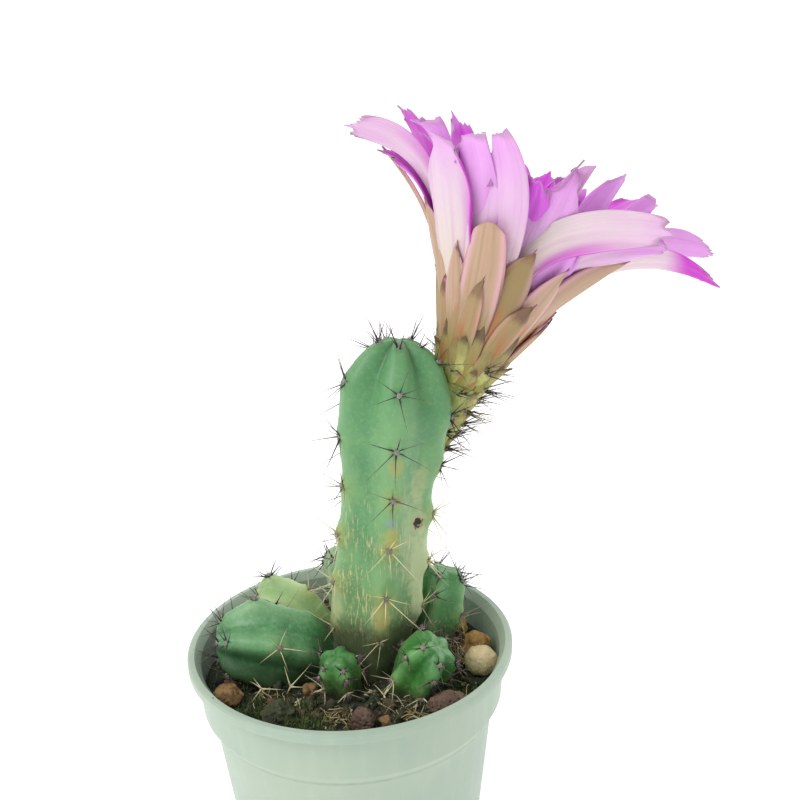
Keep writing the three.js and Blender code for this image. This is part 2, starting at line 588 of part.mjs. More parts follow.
// The scaly tube: a round body, scales in a spiral, and a few spines in the axil of each scale.
function tubeSolid(mainStem) {
  const length = tubeCurve.getLength();
  const rows = Math.round(length / TUBE.rowStep);
  const frameAt = (u) => {
    const tangent = tubeCurve.getTangentAt(u);
    const front = new THREE.Vector3(0, -1, 0);
    front.addScaledVector(tangent, -front.dot(tangent)).normalize();
    return { tangent, front, right: tangent.clone().cross(front), centre: tubeCurve.getPointAt(u) };
  };
  const skinAt = (u, turn) => {
    const { centre, front, right } = frameAt(u);
    const radius = readAt(TUBE.girth, u * length);
    return centre.addScaledVector(front, radius * Math.cos(turn)).addScaledVector(right, radius * Math.sin(turn));
  };
  const rings = Array.from({ length: rows + 1 }, (_, row) =>
    Array.from({ length: TUBE.sides }, (__, i) => skinAt(row / rows, (i / TUBE.sides) * 2 * Math.PI)));
  const pieces = [solidFromRings(rings)];
  const areoles = [];
  for (let i = 0; i < TUBE.scales; i++) {
    const share = i / (TUBE.scales - 1);
    const along = lerp(TUBE.scaleStart, length - 8.5, share);
    const turn = i * 2.399; // the golden angle
    const { tangent, front, right } = frameAt(along / length);
    const point = skinAt(along / length, turn);
    const outward = front.multiplyScalar(Math.cos(turn)).addScaledVector(right, Math.sin(turn));
    const scale = bladeSolid({
      radius: 0, height: -1.5, bearing: 0, lean: 8, tipLean: 20 - 14 * share, bendFrom: 0.2, bendTo: 0.9,
      claw: 0.8, tip: 0.1, point: 0.6, teeth: 0, wave: 0, cup: 0.1, phase: 0, thick: 0.9, rows: 3, columns: 2,
      length: lerp(...TUBE.scaleLength, share ** 1.4) + 1.5, width: lerp(2.6, 5, share),
    });
    const aside = tangent.clone().cross(outward);
    // A blade of bearing 0 runs along +Z and leans to -Y.
    const basis = new THREE.Matrix4().makeBasis(aside.clone(), outward.clone().negate(), tangent);
    const turned = basis.setPosition(point.clone().addScaledVector(outward, -0.3));
    pieces.push(scale.transform(turned.elements));
    areoles.push({ point, normal: outward, toRoot: tangent.clone().negate(), aside });
  }
  pieces.push(...starsOf(areoles, SMALL_STAR.slice(1), TUBE.spine, TUBE.seed, "flower_tube"));
  return largestPiece(joined(pieces).subtract(stemBody(mainStem, GAP)));
}

// ---- stones -------------------------------------------------------------------------------------

function stoneSolid({ at, size, rough, seed }, grow = 0) {
  const ball = mergeVertices(withoutMaps(new THREE.IcosahedronGeometry(1, 1)), 1e-3);
  const position = ball.attributes.position;
  const draw = draws(seed);
  for (let i = 0; i < position.count; i++) {
    const reach = 1 + rough * draw();
    const point = new THREE.Vector3().fromBufferAttribute(position, i);
    position.setXYZ(i, ...size.map((half, axis) =>
      point.getComponent(axis) * (half * reach + grow) + at[axis]));
  }
  return solidOf(ball);
}

function withoutMaps(geometry) {
  geometry.deleteAttribute("normal");
  geometry.deleteAttribute("uv");
  return geometry;
}

// ---- the whole plant ----------------------------------------------------------------------------

function finish(color, roughness) {
  return new THREE.MeshStandardMaterial({ color, roughness, metalness: 0 });
}

const FINISH = {
  pot: finish("#c3d2c0", 0.45),
  soil: finish("#33291f", 0.95),
  stem: finish("#5f9c68", 0.55),
  youngStem: finish("#4fa045", 0.5),
  tube: finish("#98a24a", 0.6),
  tepals: finish("#c8b183", 0.55),
  petals: finish("#e49ae6", 0.5),
  stamens: finish("#f0dc6a", 0.7),
  pistil: finish("#4f8f3c", 0.6),
  paleStone: finish("#c6a06c", 0.8),
  lava: finish("#7d4b40", 0.95),
  bark: finish("#86623a", 0.95),
};
const STONE_FINISH = {
  tan_pebble: FINISH.paleStone, bark_chunk: FINISH.bark, brown_stone: FINISH.bark,
  dark_stone: FINISH.bark, lava_right: FINISH.lava, lava_front: FINISH.lava,
};

const plant = new THREE.Group();
plant.name = "potted_cactus";

function addPiece(parent, name, solid, material) {
  const mesh = new THREE.Mesh(geometryOf(solid), material);
  mesh.name = name;
  parent.add(mesh);
}

// Where two stems press together, the later one is hollowed to clear the earlier one.
const neighbours = [];
for (const [name, stem] of Object.entries(STEMS)) {
  const body = stemBody(stem);
  const spines = starsOf(areolesOf(stem), stem.star, stem.spine, stem.seed, name);
  const whole = joined([body, ...spines]);
  const young = name.startsWith("front");
  const seated = neighbours.length ? whole.subtract(joined(neighbours)) : whole;
  neighbours.push(stemBody(stem, GAP));
  addPiece(plant, name, largestPiece(seated), young ? FINISH.youngStem : FINISH.stem);
}

const pockets = [
  ...Object.values(STEMS).map((stem) => stemBody(stem, GAP + 0.1, true)),
  ...Object.values(STONES).map((stone) => stoneSolid(stone, GAP + 0.05)),
];
addPiece(plant, "pot", potSolid(), FINISH.pot);
addPiece(plant, "soil", largestPiece(soilSolid().subtract(joined(pockets))), FINISH.soil);
for (const [name, stone] of Object.entries(STONES)) {
  addPiece(plant, name, stoneSolid(stone), STONE_FINISH[name]);
}

addPiece(plant, "flower_tube", tubeSolid(STEMS.main_stem), FINISH.tube);

// The perianth stands on the tube's end, in its own frame: Z along the flower, -Y to its front.
const flower = new THREE.Group();
const front = new THREE.Vector3(0, -1, 0);
front.addScaledVector(flowerAxis, -front.dot(flowerAxis)).normalize();
const side = flowerAxis.clone().cross(front);
flower.setRotationFromMatrix(new THREE.Matrix4().makeBasis(side, front.clone().negate(), flowerAxis));
flower.position.copy(vec(TUBE.end));
plant.add(flower);
addPiece(flower, "outer_tepals", tepalsSolid(), FINISH.tepals);
addPiece(flower, "petals", petalsSolid(), FINISH.petals);
addPiece(flower, "stamens", stamensSolid(), FINISH.stamens);
addPiece(flower, "pistil", pistilSolid(), FINISH.pistil);

export default plant;
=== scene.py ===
# %% [markdown]
# # A flowering ladyfinger cactus in a nursery pot
#
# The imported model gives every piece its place: one tall ribbed stem, six offsets round its foot, a
# pink flower on a scaly tube, and a pot of gritty soil. This lesson dresses that model. Each piece
# is modelled again with finer forms and gets a finish that is worked out from noise, from its own
# shape and from where a point lies, so no picture is needed.

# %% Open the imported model
import json
import math

import bmesh
import bpy
import numpy as np
from mathutils import Euler, Matrix, Vector, noise

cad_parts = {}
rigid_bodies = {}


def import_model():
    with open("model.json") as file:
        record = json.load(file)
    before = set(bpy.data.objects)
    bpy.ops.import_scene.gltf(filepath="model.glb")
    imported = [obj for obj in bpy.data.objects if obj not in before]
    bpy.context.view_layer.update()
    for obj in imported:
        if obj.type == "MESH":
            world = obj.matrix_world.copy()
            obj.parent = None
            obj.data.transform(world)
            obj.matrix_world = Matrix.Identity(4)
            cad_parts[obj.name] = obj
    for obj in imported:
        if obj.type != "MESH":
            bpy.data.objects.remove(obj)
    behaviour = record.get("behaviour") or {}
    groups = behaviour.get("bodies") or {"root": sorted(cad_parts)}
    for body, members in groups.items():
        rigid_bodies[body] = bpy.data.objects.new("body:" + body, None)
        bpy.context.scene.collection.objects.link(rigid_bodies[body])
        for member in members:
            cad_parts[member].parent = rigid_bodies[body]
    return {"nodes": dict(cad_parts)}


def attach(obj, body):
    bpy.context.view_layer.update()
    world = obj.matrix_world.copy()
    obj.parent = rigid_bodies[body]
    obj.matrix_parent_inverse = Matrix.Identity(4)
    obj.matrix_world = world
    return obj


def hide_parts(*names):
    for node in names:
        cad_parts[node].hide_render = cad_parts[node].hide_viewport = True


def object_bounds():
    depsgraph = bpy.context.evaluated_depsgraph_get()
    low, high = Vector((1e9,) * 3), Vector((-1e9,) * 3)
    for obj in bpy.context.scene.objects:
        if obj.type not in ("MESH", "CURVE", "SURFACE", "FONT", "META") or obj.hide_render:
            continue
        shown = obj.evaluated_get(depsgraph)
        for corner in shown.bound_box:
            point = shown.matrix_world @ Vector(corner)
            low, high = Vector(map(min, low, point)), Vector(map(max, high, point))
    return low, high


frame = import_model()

cad_box = [list(corner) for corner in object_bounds()]
print("pieces in the packed model:", len(frame["nodes"]))
print("its box in millimetres:", [[round(1000 * value, 1) for value in corner] for corner in cad_box])

# %% [markdown]
# ## The camera
#
# The camera looks down on the rim from a little in front of the pot, through a 45 mm lens, and is
# rolled by two degrees. Its place comes from the rim's ellipse: how wide it is gives the distance,
# how flat it is gives the pitch.

# %% Set up the camera
MM = 0.001  # one millimetre in metres
CAMERA_PLACE = Vector((15.4, -233.1, 215.2))  # in millimetres
PITCH = 17.7  # degrees down
ROLL = -2.17  # degrees round the line of sight
LENS = 45  # millimetres


def in_scene(name, data):
    """A new object in the scene, for a mesh, a lamp or a camera."""
    made = bpy.data.objects.new(name, data)
    bpy.context.scene.collection.objects.link(made)
    return made


camera = in_scene("camera", bpy.data.cameras.new("camera"))
tilt = Euler((math.radians(90 - PITCH), 0, 0)).to_matrix() @ Euler((0, 0, math.radians(ROLL))).to_matrix()
camera.matrix_world = Matrix.Translation(CAMERA_PLACE * MM) @ tilt.to_4x4()
camera.data.lens = LENS
camera.data.clip_start = 0.01
bpy.context.scene.camera = camera
bpy.context.scene.view_settings.view_transform = "Standard"
print("camera pitched down by", PITCH, "degrees")

# %% [markdown]
# ## Floor, backdrop and light
#
# The plant stands on white paper that curves up behind it, so there is no line between floor and
# wall. A white sky fills the shadows, and two large soft lamps give a gentle direction: one high on
# the left, and a weaker one from the right behind.

# %% Two helpers for modelling
def clear_selection():
    """Nothing is selected or in edit mode, so the next operator works on one new piece."""
    if bpy.context.object and bpy.context.object.mode != "OBJECT":
        bpy.ops.object.mode_set(mode="OBJECT")
    bpy.ops.object.select_all(action="DESELECT")


def select_edges(test):
    """In edit mode, selects the edges that pass a test."""
    bpy.ops.mesh.select_mode(type="EDGE")
    bpy.ops.mesh.select_all(action="DESELECT")
    model = bmesh.from_edit_mesh(bpy.context.object.data)
    for edge in model.edges:
        if test(edge):
            edge.select_set(True)
    model.select_flush_mode()
    bmesh.update_edit_mesh(bpy.context.object.data)


# %% Sweep of white paper
PAPER_WIDTH, WALL_HEIGHT, BEND = 4, 2.5, 0.9  # in metres


def at_back(corner):
    return corner.co.y > PAPER_WIDTH / 2 - 0.1


clear_selection()
bpy.ops.mesh.primitive_plane_add(size=PAPER_WIDTH, location=(0, 0.6, 0))
paper = bpy.context.object
paper.name = "paper_sweep"
bpy.ops.object.mode_set(mode="EDIT")
select_edges(lambda edge: all(at_back(corner) for corner in edge.verts))
bpy.ops.mesh.extrude_region_move(TRANSFORM_OT_translate={"value": (0, 0, WALL_HEIGHT)})
select_edges(lambda edge: all(at_back(corner) and corner.co.z < 0.1 for corner in edge.verts))
bpy.ops.mesh.bevel(offset=BEND, segments=16, affect="EDGES")
bpy.ops.object.mode_set(mode="OBJECT")
bpy.ops.object.transform_apply(location=True, rotation=True, scale=True)
bpy.ops.object.shade_smooth()
print("paper sweep with", len(paper.data.polygons), "faces")

# %% Soft light
SKY_STRENGTH = 0.68
PLANT_MIDDLE = Vector((0.01, 0, 0.1))  # in metres


def softbox(name, place, size, watts):
    """A square lamp that faces the middle of the plant."""
    lamp = in_scene(name, bpy.data.lights.new(name, "AREA"))
    lamp.data.size = size
    lamp.data.energy = watts
    lamp.location = place
    lamp.rotation_euler = (Vector(place) - PLANT_MIDDLE).to_track_quat("Z", "Y").to_euler()


softbox("key_left", (-0.55, -0.4, 0.9), size=0.6, watts=6.0)
softbox("rim_right", (0.8, 0.55, 0.6), size=0.6, watts=3.0)
sky = bpy.data.worlds.new("white_sky")
sky.use_nodes = True
sky.node_tree.nodes["Background"].inputs["Color"].default_value = (1, 1, 1, 1)
sky.node_tree.nodes["Background"].inputs["Strength"].default_value = SKY_STRENGTH
bpy.context.scene.world = sky
print("two softboxes and a white sky")

# %% [markdown]
# ## Numbers that every piece uses
#
# The pieces are modelled with one Blender unit to the millimetre, because bevels and merges work
# best on numbers near one. The last step of each piece shrinks its mesh to metres. Chance comes
# from one small rule with a seed, so the plant grows the same way each time.


# %% Chance and smooth changes
def draws(seed):
    """Repeatable draws between -1 and 1."""
    state = seed

    def draw():
        nonlocal state
        state = (state * 1664525 + 1013904223) % 2**32
        return state / 2**31 - 1

    return draw


def smooth(share):
    """0 below 0, 1 above 1, and an easy change between them."""
    share = np.clip(share, 0, 1)
    return share * share * (3 - 2 * share)


def lerp(low, high, share):
    return low + (high - low) * share


def read_at(stops, distance):
    """The value at a distance, read smoothly between stops of (distance, value)."""
    distance = np.asarray(distance, float)
    value = np.full(distance.shape, float(stops[0][1]))
    for (near, before), (far, after) in zip(stops, stops[1:]):
        between = lerp(before, after, smooth((distance - near) / (far - near)))
        value = np.where(distance >= near, between, value)
    return value


def unit(vectors):
    """Each row of an array of vectors, one long."""
    vectors = np.asarray(vectors, float)
    return vectors / np.maximum(np.linalg.norm(vectors, axis=-1, keepdims=True), 1e-9)


def roughened(points, size, seed):
    """Soft noise between about -1 and 1 at each point, with lumps of a size in millimetres."""
    shift = Vector((seed * 3.7, seed * 1.3, seed * 2.1))
    return np.array([noise.noise(Vector(point) / size + shift) for point in points])


# %% Reading, writing and finishing a mesh
def points_of(piece):
    """The points of a piece as an array of places."""
    places = np.empty(3 * len(piece.data.vertices))
    piece.data.vertices.foreach_get("co", places)
    return places.reshape(-1, 3)


def move_points(piece, places):
    piece.data.vertices.foreach_set("co", np.asarray(places, float).ravel())
    piece.data.update()


def note(piece, **numbers):
    """Writes numbers on the points, for the finish to read: one for each point, or one for them all."""
    for name, values in numbers.items():
        layer = piece.data.attributes.new(name, "FLOAT", "POINT")
        layer.data.foreach_set("value", np.full(len(piece.data.vertices), values, np.float32))


def pick(*pieces):
    """Selects these pieces alone. The first is the active one."""
    clear_selection()
    for piece in pieces:
        piece.select_set(True)
    bpy.context.view_layer.objects.active = pieces[0]


def modifier(piece, kind, **settings):
    """Adds a modifier with its settings and applies it."""
    pick(piece)
    added = piece.modifiers.new(kind.lower(), kind)
    for name, value in settings.items():
        setattr(added, name, value)
    bpy.ops.object.modifier_apply(modifier=added.name)


def finish_piece(piece, name, nodes, finish):
    """The last step of each piece: metres, a name, its finish, and which CAD nodes it stands for."""
    pick(piece)
    piece.data.transform(Matrix.Scale(MM, 4))
    piece.name = name
    piece.data.name = name
    piece.data.materials.append(finish)
    bpy.ops.object.shade_smooth()
    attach(piece, "root")
    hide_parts(*nodes)
    piece.data.calc_loop_triangles()
    print(f"{name}: {len(piece.data.loop_triangles)} triangles")


# %% [markdown]
# ## How the finishes are written
#
# A material is a net of nodes, and most of those nodes do sums. The class Reading stands for one
# value on that net, so that a sum is written as a sum: `0.4 + 0.2 * grain` makes the two Math nodes
# and their links. The class Finish holds one material. Anything that is the same all over the piece
# is set on the shader itself; only what changes over the surface is wired in.


# %% A value on the net
class Reading:
    """One socket that a material reads at each point of a surface."""

    def __init__(self, finish, socket):
        self.finish = finish
        self.socket = socket

    def __add__(self, other):
        return self.finish.maths("ADD", self, other)

    def __radd__(self, other):
        return self.finish.maths("ADD", other, self)

    def __sub__(self, other):
        return self.finish.maths("SUBTRACT", self, other)

    def __rsub__(self, other):
        return self.finish.maths("SUBTRACT", other, self)

    def __mul__(self, other):
        return self.finish.maths("MULTIPLY", self, other)

    def __rmul__(self, other):
        return self.finish.maths("MULTIPLY", other, self)

    def rise(self, low, high):
        """0 at low and 1 at high, with an easy change between them."""
        inputs = {"Value": self, "From Min": low, "From Max": high}
        return self.finish.node("MapRange", {"interpolation_type": "SMOOTHSTEP"}, inputs)


def colour(code):
    """A colour of the screen, written as #rrggbb, as the light values that a shader wants."""
    parts = [int(code[place : place + 2], 16) / 255 for place in (1, 3, 5)]
    return tuple(part / 12.92 if part <= 0.04045 else ((part + 0.055) / 1.055) ** 2.4 for part in parts)


# %% A material and its net
class Finish:
    """One material: a Principled shader and the nodes that feed it."""

    def __init__(self, name):
        self.material = bpy.data.materials.new(name)
        self.material.use_nodes = True
        self.net = self.material.node_tree
        self.shader = self.net.nodes["Principled BSDF"]

    def plug(self, socket, value):
        if isinstance(value, Reading):
            self.net.links.new(value.socket, socket)
        elif isinstance(value, tuple) and socket.type == "RGBA":
            socket.default_value = (*value[:3], 1)
        else:
            socket.default_value = value

    def node(self, kind, settings=(), inputs=(), output=0):
        """Adds a node: its settings by name, then a value or a reading for each input named."""
        made = self.net.nodes.new("ShaderNode" + kind)
        for name, value in dict(settings).items():
            setattr(made, name, value)
        for name, value in dict(inputs).items():
            self.plug(made.inputs[name], value)
        return Reading(self, made.outputs[output])

    def maths(self, operation, *values):
        return self.node("Math", {"operation": operation}, dict(enumerate(values)))

    def vector(self, operation, *values):
        return self.node("VectorMath", {"operation": operation}, dict(enumerate(values)))

    def place(self, stretch=(1, 1, 1)):
        """Where a point lies, in millimetres, stretched or squeezed along each axis."""
        here = self.node("TexCoord", output="Object")
        return self.vector("MULTIPLY", here, tuple(share / MM for share in stretch))

    def noted(self, name):
        """A number that was written on the points of the mesh."""
        return self.node("Attribute", {"attribute_name": name}, output="Fac")

    def length(self, vector):
        return self.node("VectorMath", {"operation": "LENGTH"}, {0: vector}, output="Value")

    def level(self, where):
        """How high a place lies."""
        return self.node("SeparateXYZ", {}, {0: where}, output="Z")

    def three(self, x, y, z):
        """One place, made of three readings."""
        return self.node("CombineXYZ", {}, {"X": x, "Y": y, "Z": z})

    def mix(self, share, first, second):
        """The first colour where the share is 0, the second where it is 1."""
        return self.node("Mix", {"data_type": "RGBA"}, {0: share, 6: first, 7: second}, output=2)

    def grain(self, where, per_mm, detail=2.0, roughness=0.5):
        """Cloudy noise from 0 to 1."""
        inputs = {"Vector": where, "Scale": per_mm, "Detail": detail, "Roughness": roughness}
        return self.node("TexNoise", {}, inputs)

    def cells(self, where, per_mm):
        """The distance to the middle of the nearest cell."""
        return self.node("TexVoronoi", {}, {"Vector": where, "Scale": per_mm}, output="Distance")

    def bump(self, height, depth, strength=1.0):
        """A relief of some millimetres, as a normal."""
        inputs = {"Height": height, "Distance": depth * MM, "Strength": strength}
        return self.node("Bump", {}, inputs)

    def wear(self, **sockets):
        """Sets the shader's own sockets: numbers are uniform, readings are wired."""
        for name, value in sockets.items():
            self.plug(self.shader.inputs[name.replace("_", " ").title().replace("Ior", "IOR")], value)
        return self.material


# %% [markdown]
# The first finish is a simple one. The paper has a very fine tooth, and it glows a little, which keeps
# it pure white without flooding the plant with light.


# %% White paper
def plain_paper():
    made = Finish("white_paper")
    tooth = made.node("TexNoise", {}, {"Vector": made.node("TexCoord", output="Object"), "Scale": 900})
    return made.wear(
        base_color=(0.93, 0.93, 0.93), roughness=0.9, emission_color=(1, 1, 1), emission_strength=0.4,
        normal=made.node("Bump", {}, {"Height": tooth, "Strength": 0.05}),
    )


paper.data.materials.append(plain_paper())
print("nodes in the paper's finish:", len(paper.data.materials[0].node_tree.nodes))

# %% [markdown]
# ## The pot
#
# A thin pot is moulded in one piece of pale mint plastic. It has a tapered body, a wider collar that
# lets pots stack, and a rolled lip. It could be cut from a solid, but a moulded wall is one line that
# goes round: so one ring is drawn out and widened step by step along that line, outside up and inside
# down, as on a potter's wheel. Bevels then soften every edge.


# %% Draw a wall out of one ring
def turn_outwards():
    """Ends the work in edit mode, with every face pointing outwards."""
    bpy.ops.mesh.select_all(action="SELECT")
    bpy.ops.mesh.normals_make_consistent(inside=False)
    bpy.ops.object.mode_set(mode="OBJECT")


def drawn_wall(line, sides):
    """A disc whose rim is drawn out along a line of (radius, level), and closed at its end."""
    clear_selection()
    bpy.ops.mesh.primitive_circle_add(vertices=sides, radius=line[0][0], fill_type="NGON")
    bpy.ops.object.mode_set(mode="EDIT")
    bpy.ops.mesh.select_all(action="SELECT")
    bpy.ops.mesh.flip_normals()
    select_edges(lambda edge: True)
    for (radius, level), (wider, higher) in zip(line, line[1:]):
        bpy.ops.mesh.extrude_edges_move(TRANSFORM_OT_translate={"value": (0, 0, higher - level)})
        bpy.ops.transform.resize(value=(wider / radius, wider / radius, 1), center_override=(0, 0, higher))
    bpy.ops.mesh.edge_face_add()
    turn_outwards()
    return bpy.context.object


POT_LINE = [
    (29.5, 0), (30.5, 1), (37, 57.5), (39.6, 62), (40.4, 73.6), (42.5, 73.6), (42.5, 75.6), (42, 76),
    (40.7, 76), (39.2, 73.6), (38.4, 62), (35.8, 57.5), (29.3, 2),
]
pot = drawn_wall(POT_LINE, 144)
print("pot drawn, points:", len(pot.data.vertices))


# %% Cut the six drain holes and the slots that lead out of them
def drain_cutter():
    """Six round drills in the floor, and a bar from each to the foot's edge."""
    clear_selection()
    for number in range(6):
        turn = number * math.pi / 3
        out = Vector((math.cos(turn), math.sin(turn), 0))
        middle = 19 * out + Vector((0, 0, 1))
        bpy.ops.mesh.primitive_cylinder_add(vertices=32, radius=4, depth=6, location=middle)
        bpy.ops.mesh.primitive_cube_add(size=1, location=26.5 * out, rotation=(0, 0, turn))
        bpy.context.object.scale = (15, 3, 2)
    cutters = [piece for piece in bpy.data.objects if piece.name.startswith(("Cylinder", "Cube"))]
    for piece in cutters:
        piece.select_set(True)
    bpy.ops.object.transform_apply(location=True, rotation=True, scale=True)
    bpy.ops.object.join()
    return bpy.context.object


cutter = drain_cutter()
modifier(pot, "BOOLEAN", operation="DIFFERENCE", object=cutter, solver="EXACT", use_self=True)
bpy.data.objects.remove(cutter)
modifier(pot, "BEVEL", width=0.35, segments=3, limit_method="ANGLE", angle_limit=math.radians(25))
print("pot with drain holes, points:", len(pot.data.vertices))

# %% [markdown]
# The plastic is a satin one. It is slightly uneven in colour where the wall is thinner, it has a fine
# grain from the mould, a few dark specks of soil outside, and a brown tide mark inside just over the
# soil. Its inner wall is darkened by painted shade.


# %% Mint plastic
def mint_plastic():
    made = Finish("mint_plastic")
    where = made.place()
    level = made.level(where)
    reach = made.length(made.vector("MULTIPLY", where, (1, 1, 0)))
    cloud = made.grain(where, 0.035, 3)
    body = made.mix(cloud.rise(0.3, 0.7), colour("#9db0a0"), colour("#a8b7a4"))
    streaks = made.grain(made.place((1, 1, 0.12)), 0.35, 3)
    body = made.mix(streaks.rise(0.45, 0.8) * 0.25, body, colour("#b8c4b1"))
    inside = reach.rise(38.7, 37.9) * level.rise(58, 62)
    dust = made.grain(where, 0.5, 5, 0.7).rise(0.42, 0.62)
    tide = inside * level.rise(74, 66.5) * dust
    # Painted shade: the inner wall of the pot is darkened.
    body = made.mix(inside * 0.92, body, colour("#4f6f6a"))
    body = made.mix(tide * 0.75, body, colour("#6d6a50"))
    specks = made.cells(where, 0.16).rise(0.05, 0.03) * made.grain(where, 0.05, 2).rise(0.5, 0.55)
    body = made.mix(specks, body, colour("#41443a"))
    skin = made.grain(where, 2.2, 3)
    relief = made.bump(skin + made.grain(where, 0.25, 2) * 2, 0.04, 0.5)
    return made.wear(
        base_color=body, roughness=0.4 + 0.12 * skin + 0.3 * tide, normal=relief,
        subsurface_weight=0.12, subsurface_radius=(1.2, 1.4, 1.1), subsurface_scale=0.001,
        specular_ior_level=0.42,
    )


modifier(pot, "WEIGHTED_NORMAL", keep_sharp=True)
finish_piece(pot, "nursery_pot", ["pot"], mint_plastic())

# %% [markdown]
# ## The stems
#
# The tall stem and its six offsets are built on one plan. A curve runs from the root to the tip.
# Round it stand five broad ribs, which swell a little under each areole, the felt pad that carries
# the spines. Such a body could be sculpted, but a rule is truer to how it grows: a cylinder is cut
# into many rows, and each of its points is then set at its own turn and distance on the skin. The
# grooves deepen near the tip, where the ribs fold together into a dimple. The areoles stand at even
# steps along each rib, and one more on each rib makes a crown of young ones round the tip.

# %% The plan of each stem, in millimetres
STEMS = {
    "main_stem": {
        "root": (1.6, -1, 54), "bend": (10.4, -0.3, 106), "tip": (15.8, 0.5, 156.5),
        "dome": 18, "square": 2.05, "dimple": 0.5,
        "girth": [(0, 5), (13, 8.4), (21, 10.2), (33, 12), (50, 11.6), (66, 11.6), (78, 13.3), (86, 14)],
        "phase": 0, "twist": 16, "depth": [(0, 0.08), (40, 0.14), (82, 0.2), (94, 0.34), (104, 0.5)],
        "tubercle": [(0, 0), (22, 0.6), (50, 1.1), (80, 0.7), (106, 0.4)],
        "first": 27, "spacing": 13, "count": 7, "spine": 10.2, "sides": 100, "seed": 11,
    },
    "left_pup": {
        "root": (-1, 0.5, 61), "bend": (-8, -2, 77), "tip": (-35.5, -3, 77.5),
        "dome": 13.5, "square": 2.05, "dimple": 0.6,
        "girth": [(0, 3.5), (10, 6.5), (20, 10.2), (30, 11)],
        "phase": 28, "twist": 0, "depth": [(0, 0.1), (20, 0.2), (40, 0.36)],
        "tubercle": [(0, 0), (14, 0.8), (34, 1.3)],
        "first": 24.2, "spacing": 12.5, "count": 2, "spine": 8, "sides": 80, "seed": 23,
    },
    "rear_left_pup": {
        "root": (-3, 11, 58), "bend": (-8, 15, 75), "tip": (-27, 20, 79.5),
        "dome": 6, "square": 2.3, "dimple": 0.8,
        "girth": [(0, 3), (12, 5.6), (24, 7.2), (34, 6.6)],
        "phase": 10, "twist": 10, "depth": [(0, 0.1), (30, 0.22)],
        "tubercle": [(0, 0), (14, 0.7), (34, 0.9)],
        "first": 17, "spacing": 10.5, "count": 3, "spine": 6, "sides": 60, "seed": 37,
    },
    "rear_pup": {
        "root": (0, 14.5, 57), "bend": (-1.5, 15.5, 76), "tip": (-2, 15, 95),
        "dome": 6, "square": 2.2, "dimple": 0.7,
        "girth": [(0, 2.5), (11, 4.6), (28, 5.4)],
        "phase": 35, "twist": 0, "depth": [(0, 0.1), (40, 0.22)],
        "tubercle": [(0, 0), (14, 0.5), (34, 0.7)],
        "first": 16, "spacing": 11, "count": 3, "spine": 6, "sides": 60, "seed": 41,
    },
    "rear_right_pup": {
        "root": (19, 8, 58), "bend": (22.5, 9, 72), "tip": (26, 11.5, 89.5),
        "dome": 7, "square": 2.3, "dimple": 0.9,
        "girth": [(0, 2.5), (10, 5.6), (20, 7.2)],
        "phase": -20, "twist": 0, "depth": [(0, 0.1), (34, 0.26)],
        "tubercle": [(0, 0), (12, 0.6), (30, 0.9)],
        "first": 15, "spacing": 11, "count": 3, "spine": 7, "sides": 60, "seed": 53,
    },
    "front_right_pup": {
        "root": (13.5, -10, 60), "bend": (16.5, -13, 74), "tip": (23.5, -16, 82),
        "dome": 6.5, "square": 2.2, "dimple": 1.1,
        "girth": [(0, 3), (7, 5.8), (13, 7.2)],
        "phase": 15, "twist": 0, "depth": [(0, 0.08), (22, 0.3)],
        "tubercle": [(0, 0), (8, 0.6), (20, 0.6)],
        "first": 12, "spacing": 7.5, "count": 2, "spine": 5, "sides": 60, "seed": 61,
    },
    "front_pup": {
        "root": (-2, -9, 60), "bend": (-2.3, -10, 66), "tip": (-3, -12.5, 78.5),
        "dome": 4.8, "square": 2.2, "dimple": 0.8,
        "girth": [(0, 2.5), (6, 4.6), (12, 5.4)],
        "phase": 20, "twist": 0, "depth": [(0, 0.08), (18, 0.24)],
        "tubercle": [(0, 0), (6, 0.6), (16, 0.8)],
        "first": 9.5, "spacing": 5, "count": 2, "spine": 4, "sides": 60, "seed": 71,
    },
}
RIBS = 5
FULL_TURN = 2 * math.pi
FRONT = np.array((0.0, -1.0, 0.0))
print("stems planned:", len(STEMS))


# %% A curve that is read by the share of its length
class Path:
    """A smooth curve through the air, from its first corner to its last."""

    def __init__(self, *corners):
        share = np.linspace(0, 1, 201)[:, None]
        layers = [np.array(corner, float) for corner in corners]
        while len(layers) > 1:
            layers = [lerp(first, second, share) for first, second in zip(layers, layers[1:])]
        self.points = layers[0]
        steps = np.linalg.norm(np.diff(self.points, axis=0), axis=1)
        self.travelled = np.concatenate([[0], np.cumsum(steps)])
        self.length = self.travelled[-1]
        self.headings = unit(np.gradient(self.points, axis=0))

    def at(self, share):
        """The middle, and the ways to the front, to the right and along the curve."""
        distance = np.clip(share, 0, 1) * self.length
        middle = np.stack([np.interp(distance, self.travelled, line) for line in self.points.T], -1)
        ahead = unit(np.stack([np.interp(distance, self.travelled, line) for line in self.headings.T], -1))
        front = unit(FRONT - ahead * (ahead @ FRONT)[..., None])
        return middle, front, np.cross(ahead, front), ahead


def measures(stem):
    """The curve of a stem, where its dome starts, the length of the dome's skin, and the whole skin."""
    path = Path(stem["root"], stem["bend"], stem["tip"])
    straight = path.length - stem["dome"]
    arc = math.pi / 4 * (stem["dome"] + float(read_at(stem["girth"], straight)))
    return path, straight, arc, straight + arc


# %% Where a point of the skin lies
def rib_bearing(stem, rib, along):
    """The turn of a rib's crest, which drifts a little from root to tip."""
    drift = math.radians(stem["twist"]) * (1 - along / measures(stem)[3])
    return rib / RIBS * FULL_TURN + math.radians(stem["phase"]) + drift


def first_areole(stem, rib):
    """Every other rib starts half a step higher."""
    return stem["first"] + (rib % 2) * 0.5 * stem["spacing"]


def off_crest(stem, turn, along):
    """The nearest rib, and the distance from its crest: 0 on it, 1 in the groove."""
    rib_turn = (turn - rib_bearing(stem, 0, along)) * RIBS / FULL_TURN
    return np.round(rib_turn).astype(int) % RIBS, 2 * np.abs(rib_turn - np.round(rib_turn))


